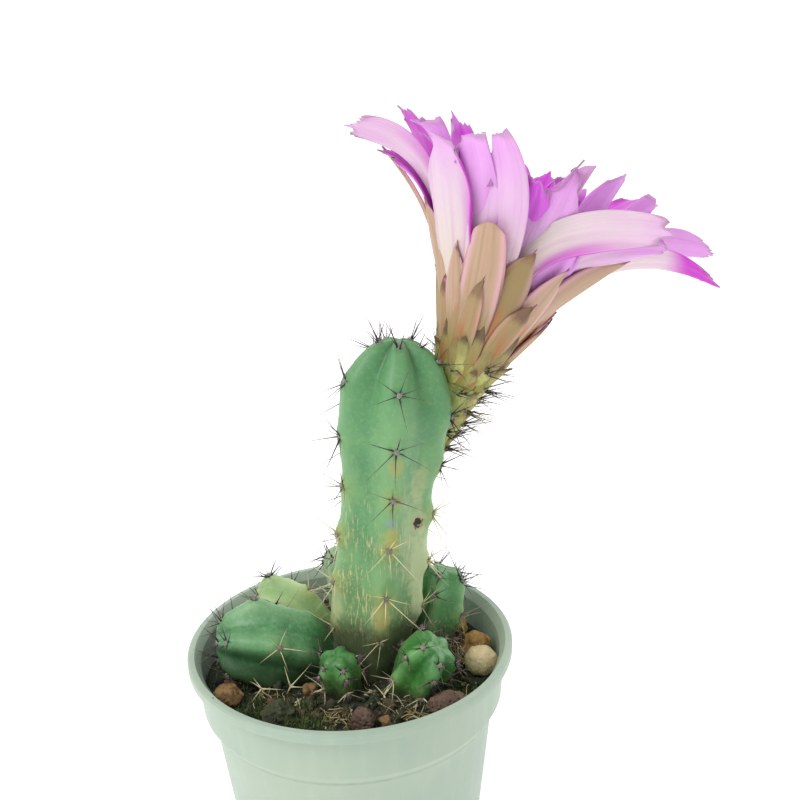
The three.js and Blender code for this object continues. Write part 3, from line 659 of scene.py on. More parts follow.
def stem_skin(stem, turn, along, proud=0.0):
    """Places on the skin: the turn is 0 at the front, and along runs over the skin from the root."""
    path, straight, arc, _ = measures(stem)
    over = np.clip((along - straight) / arc, 0, 1) * math.pi / 2
    rise = stem["dome"] * np.sin(over) ** (2 / stem["square"])
    height = np.minimum(along, straight) + rise - stem["dimple"] * smooth((over - 0.95) / 0.62)
    middle, front, right, _ = path.at(height / path.length)
    rib, offset = off_crest(stem, turn, along)
    swelling = np.cos(math.pi * (along - first_areole(stem, rib)) / stem["spacing"]) ** 4
    swelling = swelling * np.exp(-((offset / 0.45) ** 2)) * read_at(stem["tubercle"], along)
    sharp = 2 + 2 * smooth((along - 72) / 30)
    fold = read_at(stem["depth"], along) * np.sin(math.pi * offset / 2) ** sharp
    radius = read_at(stem["girth"], along) * (1 - fold) + swelling + proud
    radius = (radius * np.cos(over) ** (2 / stem["square"]))[..., None]
    return middle + front * np.cos(turn)[..., None] * radius + right * np.sin(turn)[..., None] * radius


# %% Areoles: where each lies, and the ways out, to the root and aside
BARE_TIP = 5.0  # the even steps end this far from the tip, in millimetres along the skin
CROWN = 5.2  # and this far from it stands the crown, every other areole of it one millimetre lower


def areole_steps(stem, rib):
    """How far from the root the areoles of one rib stand."""
    total = measures(stem)[3]
    even = [first_areole(stem, rib) + step * stem["spacing"] for step in range(stem["count"])]
    return [along for along in even if along <= total - BARE_TIP] + [total - CROWN - rib % 2]


def areoles_of(stem):
    found = []
    total = measures(stem)[3]
    for rib in range(RIBS):
        for along in areole_steps(stem, rib):
            turn = rib_bearing(stem, rib, along)
            turns = np.array((turn, turn, turn + 0.02))
            here, lower, beside = stem_skin(stem, turns, np.array((along, along - 0.5, along)))
            to_root, aside = unit(lower - here), unit(beside - here)
            out = unit(np.cross(to_root, aside))
            age = 1 - along / total
            found.append({"at": here, "out": out, "to_root": to_root, "aside": aside, "age": age})
    return found


AREOLES = {name: areoles_of(stem) for name, stem in STEMS.items()}
print("areoles:", {name: len(found) for name, found in AREOLES.items()})

# %% [markdown]
# The blank is an ordinary cylinder with a fan of faces on each end. Its upright edges are cut by
# Subdivide, which gives the rows. Each point then keeps two numbers, its turn and its share of the
# height, and these say where it goes on the real stem. Last, small things that a rule does not know
# are pressed in: shallow dents, soft pleats between the ribs, a dip with a raised ring at each areole,
# and an old scar on the right of the tall stem. The tall stem also has a few large stains, which are
# placed one by one.


# %% A cylinder with rows
def cut_rows(rows):
    """Cuts the upright edges of a new primitive, which gives it rows of points."""
    bpy.ops.object.mode_set(mode="EDIT")
    select_edges(lambda edge: abs(edge.verts[0].co.z - edge.verts[1].co.z) > 0.5)
    bpy.ops.mesh.subdivide(number_cuts=rows - 1)
    bpy.ops.object.mode_set(mode="OBJECT")


def rowed_cylinder(sides, rows):
    """A closed cylinder, one in radius and one high, that is cut into rows."""
    clear_selection()
    bpy.ops.mesh.primitive_cylinder_add(vertices=sides, radius=1, depth=1, end_fill_type="TRIFAN")
    cut_rows(rows)
    return bpy.context.object


def turn_and_share(piece):
    """For each point of a rowed cylinder: its turn, its share of the height, and if it is a pole."""
    places = points_of(piece)
    turn = np.arctan2(places[:, 1], places[:, 0])
    return turn, places[:, 2] + 0.5, np.hypot(places[:, 0], places[:, 1]) < 0.5


# %% Grow a stem from the cylinder
ROW_HEIGHT = 0.75
SCAR = np.array((19.0, -5.9, 110.4))
STAINS = [  # the place, how wide, how much it is drawn out in height, the tint and its strength
    ((19.2, -4.6, 97), 4.8, 0.3, "#bccb9c", 0.7), ((18.6, -3, 86), 4.5, 0.5, "#b3c191", 0.6),
    ((18, -8, 106), 5.5, 0.28, "#b3bd8c", 0.5), ((19.8, -7.5, 121), 3.5, 0.5, "#b3b584", 0.4),
    ((13.8, -12.9, 128), 2.9, 0.8, "#a3a356", 0.6), ((12.1, -11.9, 109.8), 2.6, 0.8, "#b3a552", 0.6),
    ((12.2, -11.7, 113.2), 2, 0.9, "#7f9c98", 0.6), ((11.1, -12.3, 95.5), 3.2, 0.9, "#5f8f52", 0.7),
    ((-2.9, -6.9, 90.5), 3.6, 0.5, "#b7bd8c", 0.6), ((9, -12, 88), 3, 0.5, "#c0b268", 0.6),
]


def grown_stem(name):
    stem = STEMS[name]
    total = measures(stem)[3]
    piece = rowed_cylinder(stem["sides"], int(total / ROW_HEIGHT))
    turn, share, pole = turn_and_share(piece)
    along = share * (total - 0.35)
    turn = turn + rib_bearing(stem, 0, along)
    places = stem_skin(stem, turn, along)
    out = unit(stem_skin(stem, turn, along, 1.0) - places)
    offset = off_crest(stem, turn, along)[1]
    dents = roughened(places, 6.0, stem["seed"]) * 0.28 + roughened(places, 1.7, stem["seed"] + 5) * 0.09
    lines = np.sin(offset * 9 + 2.5 * roughened(places, 14.0, stem["seed"] + 9)) * smooth(offset * 2)
    pleats = lines * 0.12 * min(1, stem["girth"][-1][1] / 12) ** 2
    felt = np.array([areole["at"] for areole in AREOLES[name]])
    nearest = np.min(np.linalg.norm(places[:, None] - felt[None], axis=2), axis=1)
    seat = -0.5 * np.exp(-((nearest / 1.0) ** 2)) + 0.2 * np.exp(-(((nearest - 1.9) / 0.9) ** 2))
    calm = smooth((total - along) / 4)
    places = places + out * ((dents + pleats) * calm + seat)[:, None]
    if name == "main_stem":
        near_scar = np.linalg.norm(places - SCAR, axis=1) + roughened(places, 0.9, 4) * 0.7
        places = places - out * (1.0 * np.exp(-((near_scar / 1.3) ** 4)))[:, None]
    places[pole & (share > 0.5)] = stem_skin(stem, np.zeros(1), np.array([total]))
    places[pole & (share < 0.5)] = stem["root"]
    move_points(piece, places)
    note(piece, crest=1 - offset, age=1 - along / total, felt=np.exp(-((nearest / 2.8) ** 2)))
    return piece


# %% [markdown]
# ## Living skin
#
# The skin is blue-green with a thin wax that pales the crests, and painted shade darkens its grooves.
# It is mottled, and dotted with very small pale pores. Towards the root it turns olive and corky: long
# pale scratches and yellow flecks, and towards its foot it turns a dark olive-brown. Under the older
# areoles it has a yellow blotch. The left offset also gets painted light on its top and painted shade
# below. One function makes this finish, and each stem gets its own greens and its own share of cork.


# %% Cactus skin
def far_from(made, where, place, squeeze, ragged, per_mm):
    """The distance to a place, measured short in height by the squeeze, with a ragged edge."""
    away = made.vector("MULTIPLY", made.vector("SUBTRACT", where, tuple(place)), (1, 1, squeeze))
    return made.length(away) + (made.grain(where, per_mm, 3) - 0.5) * ragged


def cactus_skin(
    name, fresh, crest, deep, cork, corky=1.0, old_from=0.45, gloss=0.42, scar=False, dark_foot_level=73, painted_top_light=0.0
):
    """Four greens, how corky it is and from which age, the level under which it darkens, and how much
    painted light it gets on top and painted shade below.
    """
    made = Finish(name)
    where = made.place()
    ridge = made.noted("crest")
    age = made.noted("age")
    felt = made.noted("felt")
    cloud = made.grain(where, 0.11, 3)
    fine = made.grain(where, 0.9, 4, 0.65)
    skin = made.mix(cloud.rise(0.32, 0.68), colour(fresh), colour(deep))
    skin = made.mix(ridge.rise(0.25, 1.0) * 0.55, skin, colour(crest))
    # Painted shade: the grooves between the ribs are darkened.
    skin = made.mix((1 - ridge).rise(0.8, 1.0) * 0.5, skin, colour(deep))
    skin = made.mix(age.rise(0.32, 0.1) * 0.6, skin, colour(deep))
    # A nearly black green for painted shade: deep in the grooves near the tip, and under the left offset.
    shade = tuple(0.45 * part for part in colour(deep))
    skin = made.mix((1 - ridge).rise(0.7, 1.0) * age.rise(0.2, 0.04) * 0.7, skin, shade)
    skin = made.mix(fine.rise(0.45, 0.75) * 0.35, skin, colour(crest))
    pores = made.cells(where, 1.5).rise(0.17, 0.08) * fine.rise(0.4, 0.6)
    skin = made.mix(pores * 0.4, skin, colour("#b9d8b4"))
    old = (age + (cloud - 0.5) * 0.35).rise(old_from, 1.0)
    skin = made.mix(old * (0.75 * corky), skin, colour("#7f9458"))
    scratches = made.grain(made.place((1, 1, 0.14)), 1.5, 4, 0.7).rise(0.53, 0.66)
    patches = made.grain(made.place((1, 1, 0.5)), 0.16, 2).rise(0.36, 0.52)
    worn = (age + (cloud - 0.5) * 0.5).rise(old_from - 0.2, 0.7)
    skin = made.mix(scratches * patches * worn * corky, skin, colour(cork))
    flecks = made.cells(made.place((1, 1, 0.35)), 1.5).rise(0.34, 0.14)
    aged = age.rise(old_from - 0.12, old_from + 0.22)
    flecks = flecks * made.grain(where, 0.22, 2).rise(0.42, 0.55) * aged
    skin = made.mix(flecks * (0.62 * corky), skin, colour("#c3bd7c"))
    blotch = felt * age.rise(0.25, 0.5) * fine.rise(0.3, 0.6)
    skin = made.mix(blotch * (0.75 * corky), skin, colour("#b5a74c"))
    # Darker towards the foot: a dark olive-brown below a level given for each stem.
    height = made.level(where) + (fine - 0.5) * 7
    skin = made.mix(height.rise(dark_foot_level + 5, dark_foot_level - 3) * 0.85, skin, colour("#3b3f28"))
    # Painted light on the stem's upper side and painted shade on its lower side; only the left offset has
    # them.
    skin = made.mix(height.rise(80, 92) * painted_top_light, skin, colour("#a4c79c"))
    skin = made.mix(height.rise(83, 75) * painted_top_light, skin, shade)
    hurt = 0.0
    if scar:
        for place, wide, squeeze, tint, strong in STAINS:
            far = far_from(made, where, place, squeeze, wide, 0.5)
            skin = made.mix(far.rise(wide, wide * 0.4) * strong, skin, colour(tint))
        far = far_from(made, where, SCAR, 1, 2.2, 0.8)
        skin = made.mix(far.rise(2.8, 1.7) * 0.55, skin, colour("#b3a47c"))
        hurt = far.rise(1.7, 1.2)
        skin = made.mix(hurt, skin, colour("#2b1f1a"))
    relief = fine * 0.35 + scratches * worn * 0.6 + made.grain(where, 3.5, 2) * 0.18 + flecks * 0.4
    return made.wear(
        base_color=skin, roughness=gloss + 0.12 * fine + 0.22 * old + 0.2 * hurt,
        normal=made.bump(relief, 0.16, 0.6), subsurface_weight=0.14,
        subsurface_radius=(0.9, 1.4, 0.6), subsurface_scale=0.0012,
        sheen_weight=0.04, sheen_roughness=0.45, coat_weight=0.05, coat_roughness=0.35,
    )


SKINS = {
    "main_stem": cactus_skin(
        "tall_stem_skin", "#679b62", "#82b078", "#4f8857", "#cdc791", scar=True, dark_foot_level=84
    ),
    "left_pup": cactus_skin(
        "left_offset_skin", "#55925a", "#7aad78", "#387343", "#b9bd86",
        corky=0.3, old_from=0.6, gloss=0.36, painted_top_light=0.5,
    ),
    "rear_left_pup": cactus_skin(
        "pale_offset_skin", "#aac587", "#c3d59d", "#8fb476", "#c4bd85", corky=0.7, old_from=0.4, gloss=0.45
    ),
    "rear_pup": cactus_skin(
        "rear_offset_skin", "#94b387", "#b4cba6", "#7da077", "#c9c6a0", corky=0.6, old_from=0.4, gloss=0.42
    ),
    "rear_right_pup": cactus_skin(
        "right_offset_skin", "#6cab6c", "#8fbc80", "#52935a", "#bdbf85", corky=0.5, old_from=0.5, gloss=0.4
    ),
    "front_right_pup": cactus_skin(
        "bright_offset_skin", "#4a923e", "#7fb872", "#337432", "#b6c08a",
        corky=0.3, old_from=0.6, gloss=0.32, dark_foot_level=70,
    ),
    "front_pup": cactus_skin(
        "small_offset_skin", "#4f8f48", "#80b266", "#35743a", "#b6c08a",
        corky=0.3, old_from=0.6, gloss=0.34, dark_foot_level=70,
    ),
}
for name in STEMS:
    finish_piece(grown_stem(name), name + "_skin", [name], SKINS[name])

# %% [markdown]
# ## Spines and felt
#
# A star of stiff spines stands on each areole: one down and two to each side, and on the tall stem
# one up as well. In the crown every other spine is still missing, and the rest stand up straight.
# Young spines are nearly black with a pale tip, old ones are straw. There are hundreds, so one slim
# spine is modelled from a cone with few faces and a light bend, and copied to each place. The same
# way gives the felt: a small cushion with short hairs.


# %% One spine, one hair and one cushion
def slim_master(name, sides, rows, foot, bend):
    """A tapering thorn, one high, with its foot at the origin."""
    clear_selection()
    bpy.ops.mesh.primitive_cone_add(vertices=sides, radius1=1, radius2=0.16, depth=1, end_fill_type="TRIFAN")
    cut_rows(rows)
    made = bpy.context.object
    made.name = name
    places = points_of(made)
    share = places[:, 2] + 0.5
    swell = 1 + foot * np.exp(-((share / 0.07) ** 2))
    places[:, :2] *= swell[:, None]
    places[:, 2] = share
    places[:, 0] += bend * share**2
    move_points(made, places)
    return made


def soft_ball(name, detail, seed, lumps):
    """An uneven ball, one in radius."""
    clear_selection()
    bpy.ops.mesh.primitive_ico_sphere_add(subdivisions=detail, radius=1)
    made = bpy.context.object
    made.name = name
    places = points_of(made)
    places = places * (1 + lumps * roughened(places, 0.8, seed))[:, None]
    move_points(made, places)
    return made


spine_master = slim_master("spine_master", 6, 4, 0.5, 2.5)
hair_master = slim_master("hair_master", 3, 3, 0.0, 9.0)
felt_master = soft_ball("felt_master", 2, 3, 0.5)
print("faces of one spine:", len(spine_master.data.polygons))


# %% Copy a master to many places
def stood(places, ways, widths, lengths, rolls=None):
    """A matrix for each copy: its foot, the way it points, its half width, its length and its roll.
    A single number holds for all copies. Without rolls, each is rolled a radian further."""
    ways = unit(ways)
    rolls = np.arange(len(ways)) if rolls is None else rolls
    widths, lengths, rolls = (np.broadcast_to(part, len(ways))[:, None] for part in (widths, lengths, rolls))
    beside = unit(np.cross(ways, np.where(np.abs(ways[:, 2:]) > 0.9, (1.0, 0, 0), (0, 0, 1.0))))
    first = beside * np.cos(rolls) + np.cross(ways, beside) * np.sin(rolls)
    made = np.zeros((len(ways), 4, 4))
    made[:, :3, 0] = first * widths
    made[:, :3, 1] = np.cross(ways, first) * widths
    made[:, :3, 2] = ways * lengths
    made[:, :3, 3] = places
    made[:, 3, 3] = 1
    return made


def copies(master, matrices, tones):
    """One mesh with a copy of the master for each matrix. Each copy has its own tone, or all share one."""
    corners = points_of(master)
    places = np.einsum("nij,vj->nvi", matrices[:, :3, :3], corners) + matrices[:, None, :3, 3]
    faces = [np.array(face.vertices) for face in master.data.polygons]
    shifts = np.arange(len(matrices)) * len(corners)
    numbered = [(face + shift).tolist() for shift in shifts for face in faces]
    mesh = bpy.data.meshes.new(master.name + "_copies")
    mesh.from_pydata(places.reshape(-1, 3).tolist(), [], numbered)
    made = in_scene(mesh.name, mesh)
    tones = np.repeat(np.broadcast_to(tones, len(matrices)), len(corners))
    note(made, tone=tones, share=np.tile(corners[:, 2], len(matrices)))
    return made


# %% Keep spines out of the soil, the pot's wall and the next stem
SOIL_LEVEL = 66.8


def soil_top(x, y):
    """The height of the soil's uneven surface."""
    mound = 1.2 * np.exp(-((x - 5) ** 2 + y**2) / 150)
    swell = 0.7 * np.sin(0.21 * x + 1.3) * np.cos(0.17 * y - 0.4)
    lumps = 0.5 * np.sin(0.47 * x - 0.38 * y) + 0.3 * np.sin(0.9 * x + 2) * np.sin(0.8 * y + 1)
    return SOIL_LEVEL + mound + swell + lumps


def stem_balls(stem):
    """Balls along the middle of a stem that fill it to just under its skin."""
    path = measures(stem)[0]
    share = np.linspace(0, 1, 25)
    return path.at(share)[0], read_at(stem["girth"], share * path.length) - 0.6


STEM_BALLS = {name: stem_balls(stem) for name, stem in STEMS.items()}
LEFT_END = 1000 * cad_box[0][0] + 0.2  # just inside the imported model's box
RIM_LEVEL, WALL_REACH = 76.5, 37.8  # the pot's rim, and how far out its wall is free


def has_room(place, owner):
    """Says if a point of a spine is clear of the soil, the pot and all stems but its own."""
    x, y, z = place
    if z < soil_top(x, y) - 0.5 or x < LEFT_END:
        return False
    if z < RIM_LEVEL and math.hypot(x, y) > WALL_REACH:
        return False
    for name, (middles, radii) in STEM_BALLS.items():
        if name != owner and np.any(np.linalg.norm(middles - place, axis=1) < radii):
            return False
    return True


# %% Stars of spines: for each spine its bearing, 0 towards the root, and its share of the full length
TALL_STAR = [(8, 0.8), (66, 1.05), (-64, 1.05), (118, 0.85), (-122, 0.8), (176, 0.65)]
SMALL_STAR = [(12, 0.9), (84, 0.85), (-80, 0.9), (140, 0.9), (-146, 0.85)]
CROWN_AGE = 0.1  # younger areoles belong to the crown


def star_spines(name, star):
    """Matrices and tones for the spines of one stem. A spine without room is left out."""
    stem = STEMS[name]
    draw = draws(stem["seed"])
    feet, ways, lengths, tones = [], [], [], []
    for areole in AREOLES[name]:
        worn = 0.2 * draw()
        for number, (bearing, share) in enumerate(star):
            if areole["age"] < CROWN_AGE and number % 2:
                continue
            angle = math.radians(bearing + 20 * draw())
            young = min(1, 0.45 + 4 * areole["age"])
            length = stem["spine"] * young * share * (0.96 + 0.26 * draw())
            upright = smooth((0.13 - areole["age"]) / 0.06)
            lift = math.radians(33 + 15 * draw() + 32 * upright)
            flat = areole["to_root"] * math.cos(angle) + areole["aside"] * math.sin(angle)
            way = flat * math.cos(lift) + areole["out"] * math.sin(lift)
            foot = areole["at"] + flat * 0.35 - areole["out"] * 0.5
            if not all(has_room(areole["at"] + way * length * part, name) for part in (0.35, 0.7, 1)):
                continue
            feet.append(foot)
            ways.append(way)
            lengths.append(length + 0.5)
            tones.append(np.clip(1.3 - 1.7 * areole["age"] + worn + 0.12 * draw(), 0, 1))
    widths = [0.165 + 0.055 * draw() for _ in feet]
    rolls = [math.pi * draw() for _ in feet]
    return stood(feet, ways, widths, lengths, rolls), tones


HAIRS = 26  # on each cushion


def felt_pads(name):
    """Matrices for the cushions and for the hairs on them."""
    draw = draws(STEMS[name]["seed"] + 1)
    areoles = AREOLES[name]
    size = 0.52 + 0.015 * STEMS[name]["spine"]
    feet = [areole["at"] - areole["out"] * 0.1 for areole in areoles]
    pads = stood(feet, [areole["out"] for areole in areoles], size, size * 0.6)
    hair_feet, hair_ways, hair_lengths = [], [], []
    for areole in areoles:
        for _ in range(HAIRS):
            turn, tip = math.pi * draw(), 0.5 + 0.5 * draw()
            flat = areole["to_root"] * math.cos(turn) + areole["aside"] * math.sin(turn)
            hair_feet.append(areole["at"] + flat * size * tip * 0.9 + areole["out"] * 0.05)
            hair_ways.append(flat * (0.25 + tip) + areole["out"])
            hair_lengths.append(0.9 + 0.5 * draw())
    return pads, stood(hair_feet, hair_ways, 0.035, hair_lengths, np.arange(len(hair_feet)) * 2.4)


# %% Join loose pieces into one
def joined(pieces):
    pick(*pieces)
    bpy.ops.object.join()
    return bpy.context.object


# %% [markdown]
# A spine is horn: smooth, a little glossy, lit through at its thin end. Its colour runs along it, and
# from young to old. The felt is matt and grey-white, and browner on old areoles.


# %% Finish of spines and felt
def spine_horn():
    made = Finish("spine_horn")
    young = made.noted("tone")
    share = made.noted("share")
    where = made.place()
    rings = made.grain(where, 1.2, 2)
    old = made.mix(share.rise(0.5, 1.0) * 0.6, colour("#d9d2a8"), colour("#a8875f"))
    old = made.mix(rings.rise(0.5, 0.7) * 0.5, old, colour("#c2b27e"))
    dark = made.mix(share.rise(0.25, 0.9) * rings.rise(0.4, 0.6), colour("#3a2f35"), colour("#8c7b63"))
    dark = made.mix(share.rise(0.15, 0.0) * 0.6, dark, colour("#6a5a50"))
    horn = made.mix(young.rise(0.3, 0.75), old, dark)
    return made.wear(
        base_color=horn, roughness=0.42 + 0.15 * rings, normal=made.bump(rings, 0.03, 0.4),
        subsurface_weight=0.08, subsurface_radius=(0.6, 0.4, 0.25), subsurface_scale=0.0004,
    )


def felt_wool(name, old, fresh):
    made = Finish(name)
    where = made.place()
    curls = made.grain(where, 4, 4, 0.7)
    wool = made.mix(made.noted("tone"), colour(old), colour(fresh))
    wool = made.mix(curls.rise(0.35, 0.65) * 0.65, wool, colour("#544b48"))
    relief = made.bump(curls, 0.12)
    return made.wear(base_color=wool, roughness=0.9 + 0.08 * curls, normal=relief, sheen_weight=0.3)


SPINE_HORN = spine_horn()
FELT = felt_wool("areole_felt", "#7d7363", "#b9b5ae")
PINK_FELT = felt_wool("young_areole_felt", "#a78f8a", "#c4adab")
for name in STEMS:
    star = TALL_STAR if name == "main_stem" else SMALL_STAR
    spines = copies(spine_master, *star_spines(name, star))
    finish_piece(spines, name + "_spines", [name], SPINE_HORN)
    pads, hairs = felt_pads(name)
    tones = [1 - areole["age"] for areole in AREOLES[name]]
    felt = joined([copies(felt_master, pads, tones), copies(hair_master, hairs, np.repeat(tones, HAIRS))])
    wool = PINK_FELT if name.startswith("front") else FELT
    finish_piece(felt, name + "_felt", [name], wool)

# %% [markdown]
# ## Soil
#
# The pot is filled with peat, grit and bark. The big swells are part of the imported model; here the
# surface gets its small lumps. A disc of triangles is cut fine by Subdivide, each point is lifted by
# the same rule as in the model plus noise in three sizes, and the side is drawn down to the floor.


# %% A fine disc, lifted into lumps and drawn down to the floor
SOIL_RADIUS = 38.4
SOIL_SLICES = 36
SOIL_SIDE = [(38.1, 62), (35.5, 57.5), (29.0, 2.4)]  # how wide the soil is further down, and where


def filled_soil():
    clear_selection()
    bpy.ops.mesh.primitive_circle_add(vertices=SOIL_SLICES, radius=SOIL_RADIUS, fill_type="TRIFAN")
    made = bpy.context.object
    bpy.ops.object.mode_set(mode="EDIT")
    bpy.ops.mesh.select_all(action="SELECT")
    bpy.ops.mesh.subdivide(number_cuts=35)
    bpy.ops.object.mode_set(mode="OBJECT")
    places = points_of(made)
    turn = np.arctan2(places[:, 1], places[:, 0])
    half_slice = FULL_TURN / SOIL_SLICES / 2
    slice_turn = np.mod(turn, 2 * half_slice) - half_slice
    reach = np.hypot(places[:, 0], places[:, 1]) * np.cos(slice_turn) / math.cos(half_slice)
    places[:, 0], places[:, 1] = reach * np.cos(turn), reach * np.sin(turn)
    flat = np.column_stack([places[:, 0], places[:, 1], np.zeros(len(places))])
    lumps = 0.9 * roughened(flat, 4.5, 1) + 0.55 * roughened(flat, 1.6, 2) + 0.25 * roughened(flat, 0.7, 3)
    places[:, 2] = soil_top(places[:, 0], places[:, 1]) + lumps * smooth((SOIL_RADIUS - reach) / 1.5) - 0.2
    move_points(made, places)
    bpy.ops.object.mode_set(mode="EDIT")
    select_edges(lambda edge: edge.is_boundary)
    for wide, level in SOIL_SIDE:
        bpy.ops.mesh.extrude_edges_move(TRANSFORM_OT_translate={"value": (0, 0, 0)})
        model = bmesh.from_edit_mesh(made.data)
        for corner in [corner for corner in model.verts if corner.select]:
            stretch = wide / math.hypot(corner.co.x, corner.co.y)
            corner.co = Vector((corner.co.x * stretch, corner.co.y * stretch, level))
        bmesh.update_edit_mesh(made.data)
    bpy.ops.mesh.edge_face_add()
    turn_outwards()
    return made


# %% [markdown]
# Damp peat is nearly black, with olive where algae grow and paler fibre on its ridges. It has no
# gloss.


# %% Peat finish
def damp_peat():
    made = Finish("damp_peat")
    where = made.place()
    cloud = made.grain(where, 0.12, 3)
    grit = made.grain(where, 1.3, 5, 0.7)
    peat = made.mix(grit.rise(0.35, 0.7), colour("#1d2118"), colour("#4a4a39"))
    peat = made.mix(cloud.rise(0.42, 0.6) * 0.7, peat, colour("#35472f"))
    peat = made.mix(made.cells(where, 1.1).rise(0.2, 0.12) * grit.rise(0.4, 0.5), peat, colour("#7c6a4c"))
    return made.wear(base_color=peat, roughness=0.82 + 0.15 * grit, normal=made.bump(grit, 0.5, 0.8))


def loose_bits(name, tints, spots=0.5, rough=0.85, relief=0.3):
    """Grit, crumbs or threads: the tone of each copy picks a tint."""
    made = Finish(name)
    where = made.place()
    tone = made.noted("tone")
    grit = made.grain(where, 1.6, 4, 0.7)
    shade = colour(tints[0])
    for number, tint in enumerate(tints[1:], 1):
        start = (number - 0.7) / (len(tints) - 1)
        shade = made.mix(tone.rise(start, start + 0.3 / len(tints)), shade, colour(tint))
    dark = tuple(0.35 * part for part in colour(tints[0]))
    shade = made.mix(grit.rise(0.5, 0.75) * spots, shade, dark)
    uneven = made.bump(grit, relief, 0.7)
    return made.wear(base_color=shade, roughness=rough + 0.12 * grit, normal=uneven)


finish_piece(filled_soil(), "soil_bed", ["soil"], damp_peat())

# %% [markdown]
# ## What lies on the soil
#
# Crumbs of peat, grit, pieces of bark, dry root threads and some moss break up the surface. A few
# small masters are enough: copies differ in size, turn and tone. They are strewn by chance, except
# for the bits that stand out, which have a place of their own.


# %% Strew crumbs and grit
def laid(place, turns, sizes):
    """The matrix of one copy: its place, its turns about the three axes, and its three half sizes."""
    turned = Euler(turns).to_matrix().to_4x4()
    return np.array(Matrix.Translation(place) @ turned @ Matrix.Diagonal((*sizes, 1)))


STREWN_REACH = 37.2  # crumbs end this far from the middle of the pot


def strewn(count, seed, low, high, squash=0.7, sunk=0.15):
    """Matrices for crumbs that lie at all turns on the soil. Most are small, a few are large."""
    draw = draws(seed)
    made = []
    while len(made) < count:
        x, y = STREWN_REACH * draw(), STREWN_REACH * draw()
        size = lerp(low, high, (0.5 + 0.5 * draw()) ** 2.5)
        if math.hypot(x, y) > STREWN_REACH - size:
            continue
        z = float(soil_top(x, y)) + 0.45 * noise.noise(Vector((x, y, 0)) / 4.5) + size * sunk
        turns = (3.1 * draw(), 3.1 * draw(), 3.1 * draw())
        made.append(laid((x, y, z), turns, (size, size * (0.75 + 0.25 * draw()), size * squash)))
    return np.array(made)


def tones_for(matrices, seed):
    draw = draws(seed)
    return [0.5 + 0.5 * draw() for _ in matrices]


def lay_on_soil(name, master, matrices, tones, *looks):
    """Copies of a master as one finished piece of the soil, with loose_bits for its looks."""
    finish_piece(copies(master, matrices, tones), name, ["soil"], loose_bits(*looks))


crumb_master = soft_ball("crumb_master", 2, 8, 1.0)
grit_master = soft_ball("grit_master", 1, 5, 0.5)
crumbs = strewn(620, 201, 0.5, 2.0)
crumb_tints = ["#1a1d15", "#2c2e22", "#454330", "#2a3a23", "#574c38"]
lay_on_soil("peat_crumbs", crumb_master, crumbs, tones_for(crumbs, 202), "peat_crumb", crumb_tints)
grains = strewn(1500, 203, 0.2, 0.62, 0.8, 0.4)
grit_tints = ["#2a261b", "#5a4e36", "#928663", "#3d4230", "#b0a888"]
lay_on_soil("fine_grit", grit_master, grains, tones_for(grains, 204), "fine_grit", grit_tints, 0.3)


# %% Threads: roots, straw and moss
def bent_thread(name, sides, rows, sway, taper):
    """A thin thread along Z, one high, that bends to and fro."""
    made = rowed_cylinder(sides, rows)
    made.name = name
    places = points_of(made)
    share = places[:, 2] + 0.5
    places[:, :2] *= (1 - taper * share)[:, None]
    places[:, 0] += sway * np.sin(3.1 * share) * (0.4 + share)
    places[:, 1] += 0.6 * sway * np.sin(5.2 * share + 1)
    places[:, 2] = share
    move_points(made, places)
    return made


thread_master = bent_thread("thread_master", 4, 8, 5.5, 0.55)
blade_master = bent_thread("blade_master", 3, 3, 1.2, 0.85)
THREAD_REACH = 36.8  # no thread starts further out than this


def on_soil(x, y, lift):
    """A place over the soil's surface."""
    return x, y, float(soil_top(x, y)) + lift


def thread_stands(middle, spread, count, seed, length, width, rise=0.12, heading=None):
    """Threads that lie on the soil round a place, flat unless they rise."""
    draw = draws(seed)
    feet, ways = [], []
    for _ in range(count):
        turn = math.pi * draw() if heading is None else math.radians(heading + 35 * draw())
        way = np.array((math.cos(turn), math.sin(turn), rise * (1 + draw())))
        x, y = middle[0] + spread * draw() * abs(draw()), middle[1] + spread * draw() * abs(draw())
        if math.hypot(x, y) > 35 or math.hypot(x + way[0] * length, y + way[1] * length) > 37.5:
            way[:2] = -unit(np.array((x, y)))  # near the wall a thread lies inwards
        reach = math.hypot(x, y)
        if reach >= THREAD_REACH:
            x, y = x * THREAD_REACH / reach, y * THREAD_REACH / reach
        feet.append(on_soil(x, y, 0.35 + 0.3 * draw()))
        ways.append(way)
    lengths = [length * (0.7 + 0.3 * draw()) for _ in feet]
    widths = [width * (1 + 0.35 * draw()) for _ in feet]
    return stood(feet, ways, widths, lengths, [math.pi * draw() for _ in feet])


root_threads = np.concatenate([
    thread_stands((0, 0), 36, 90, 301, 7, 0.13),
    thread_stands((-2, -22.5), 4.5, 34, 302, 7.5, 0.14, 0.5, 250),
    thread_stands((0.5, -25), 4, 18, 303, 6, 0.16, 0.5, 210),
    thread_stands((31, -1), 4.5, 60, 304, 6.5, 0.15, 0.8),
    thread_stands((29.5, 6.5), 4, 40, 305, 8, 0.14, 1.0),
    thread_stands((19.8, -26.6), 3, 16, 308, 7, 0.2, 0.2, 160),
    thread_stands((-33.5, 5), 2, 5, 309, 10, 0.45, 0.35, 200),
    thread_stands((-19, -16), 7, 30, 306, 6.5, 0.13, 0.3),
    thread_stands((14, -22), 8, 30, 307, 6.5, 0.13, 0.4),
])
root_tints = ["#4b3f2b", "#8a7650", "#c8b988", "#6f5c3c", "#d9cfa6"]
root_looks = ("dry_root", root_tints, 0.25, 0.7, 0.15)
lay_on_soil("dry_roots", thread_master, root_threads, tones_for(root_threads, 310), *root_looks)
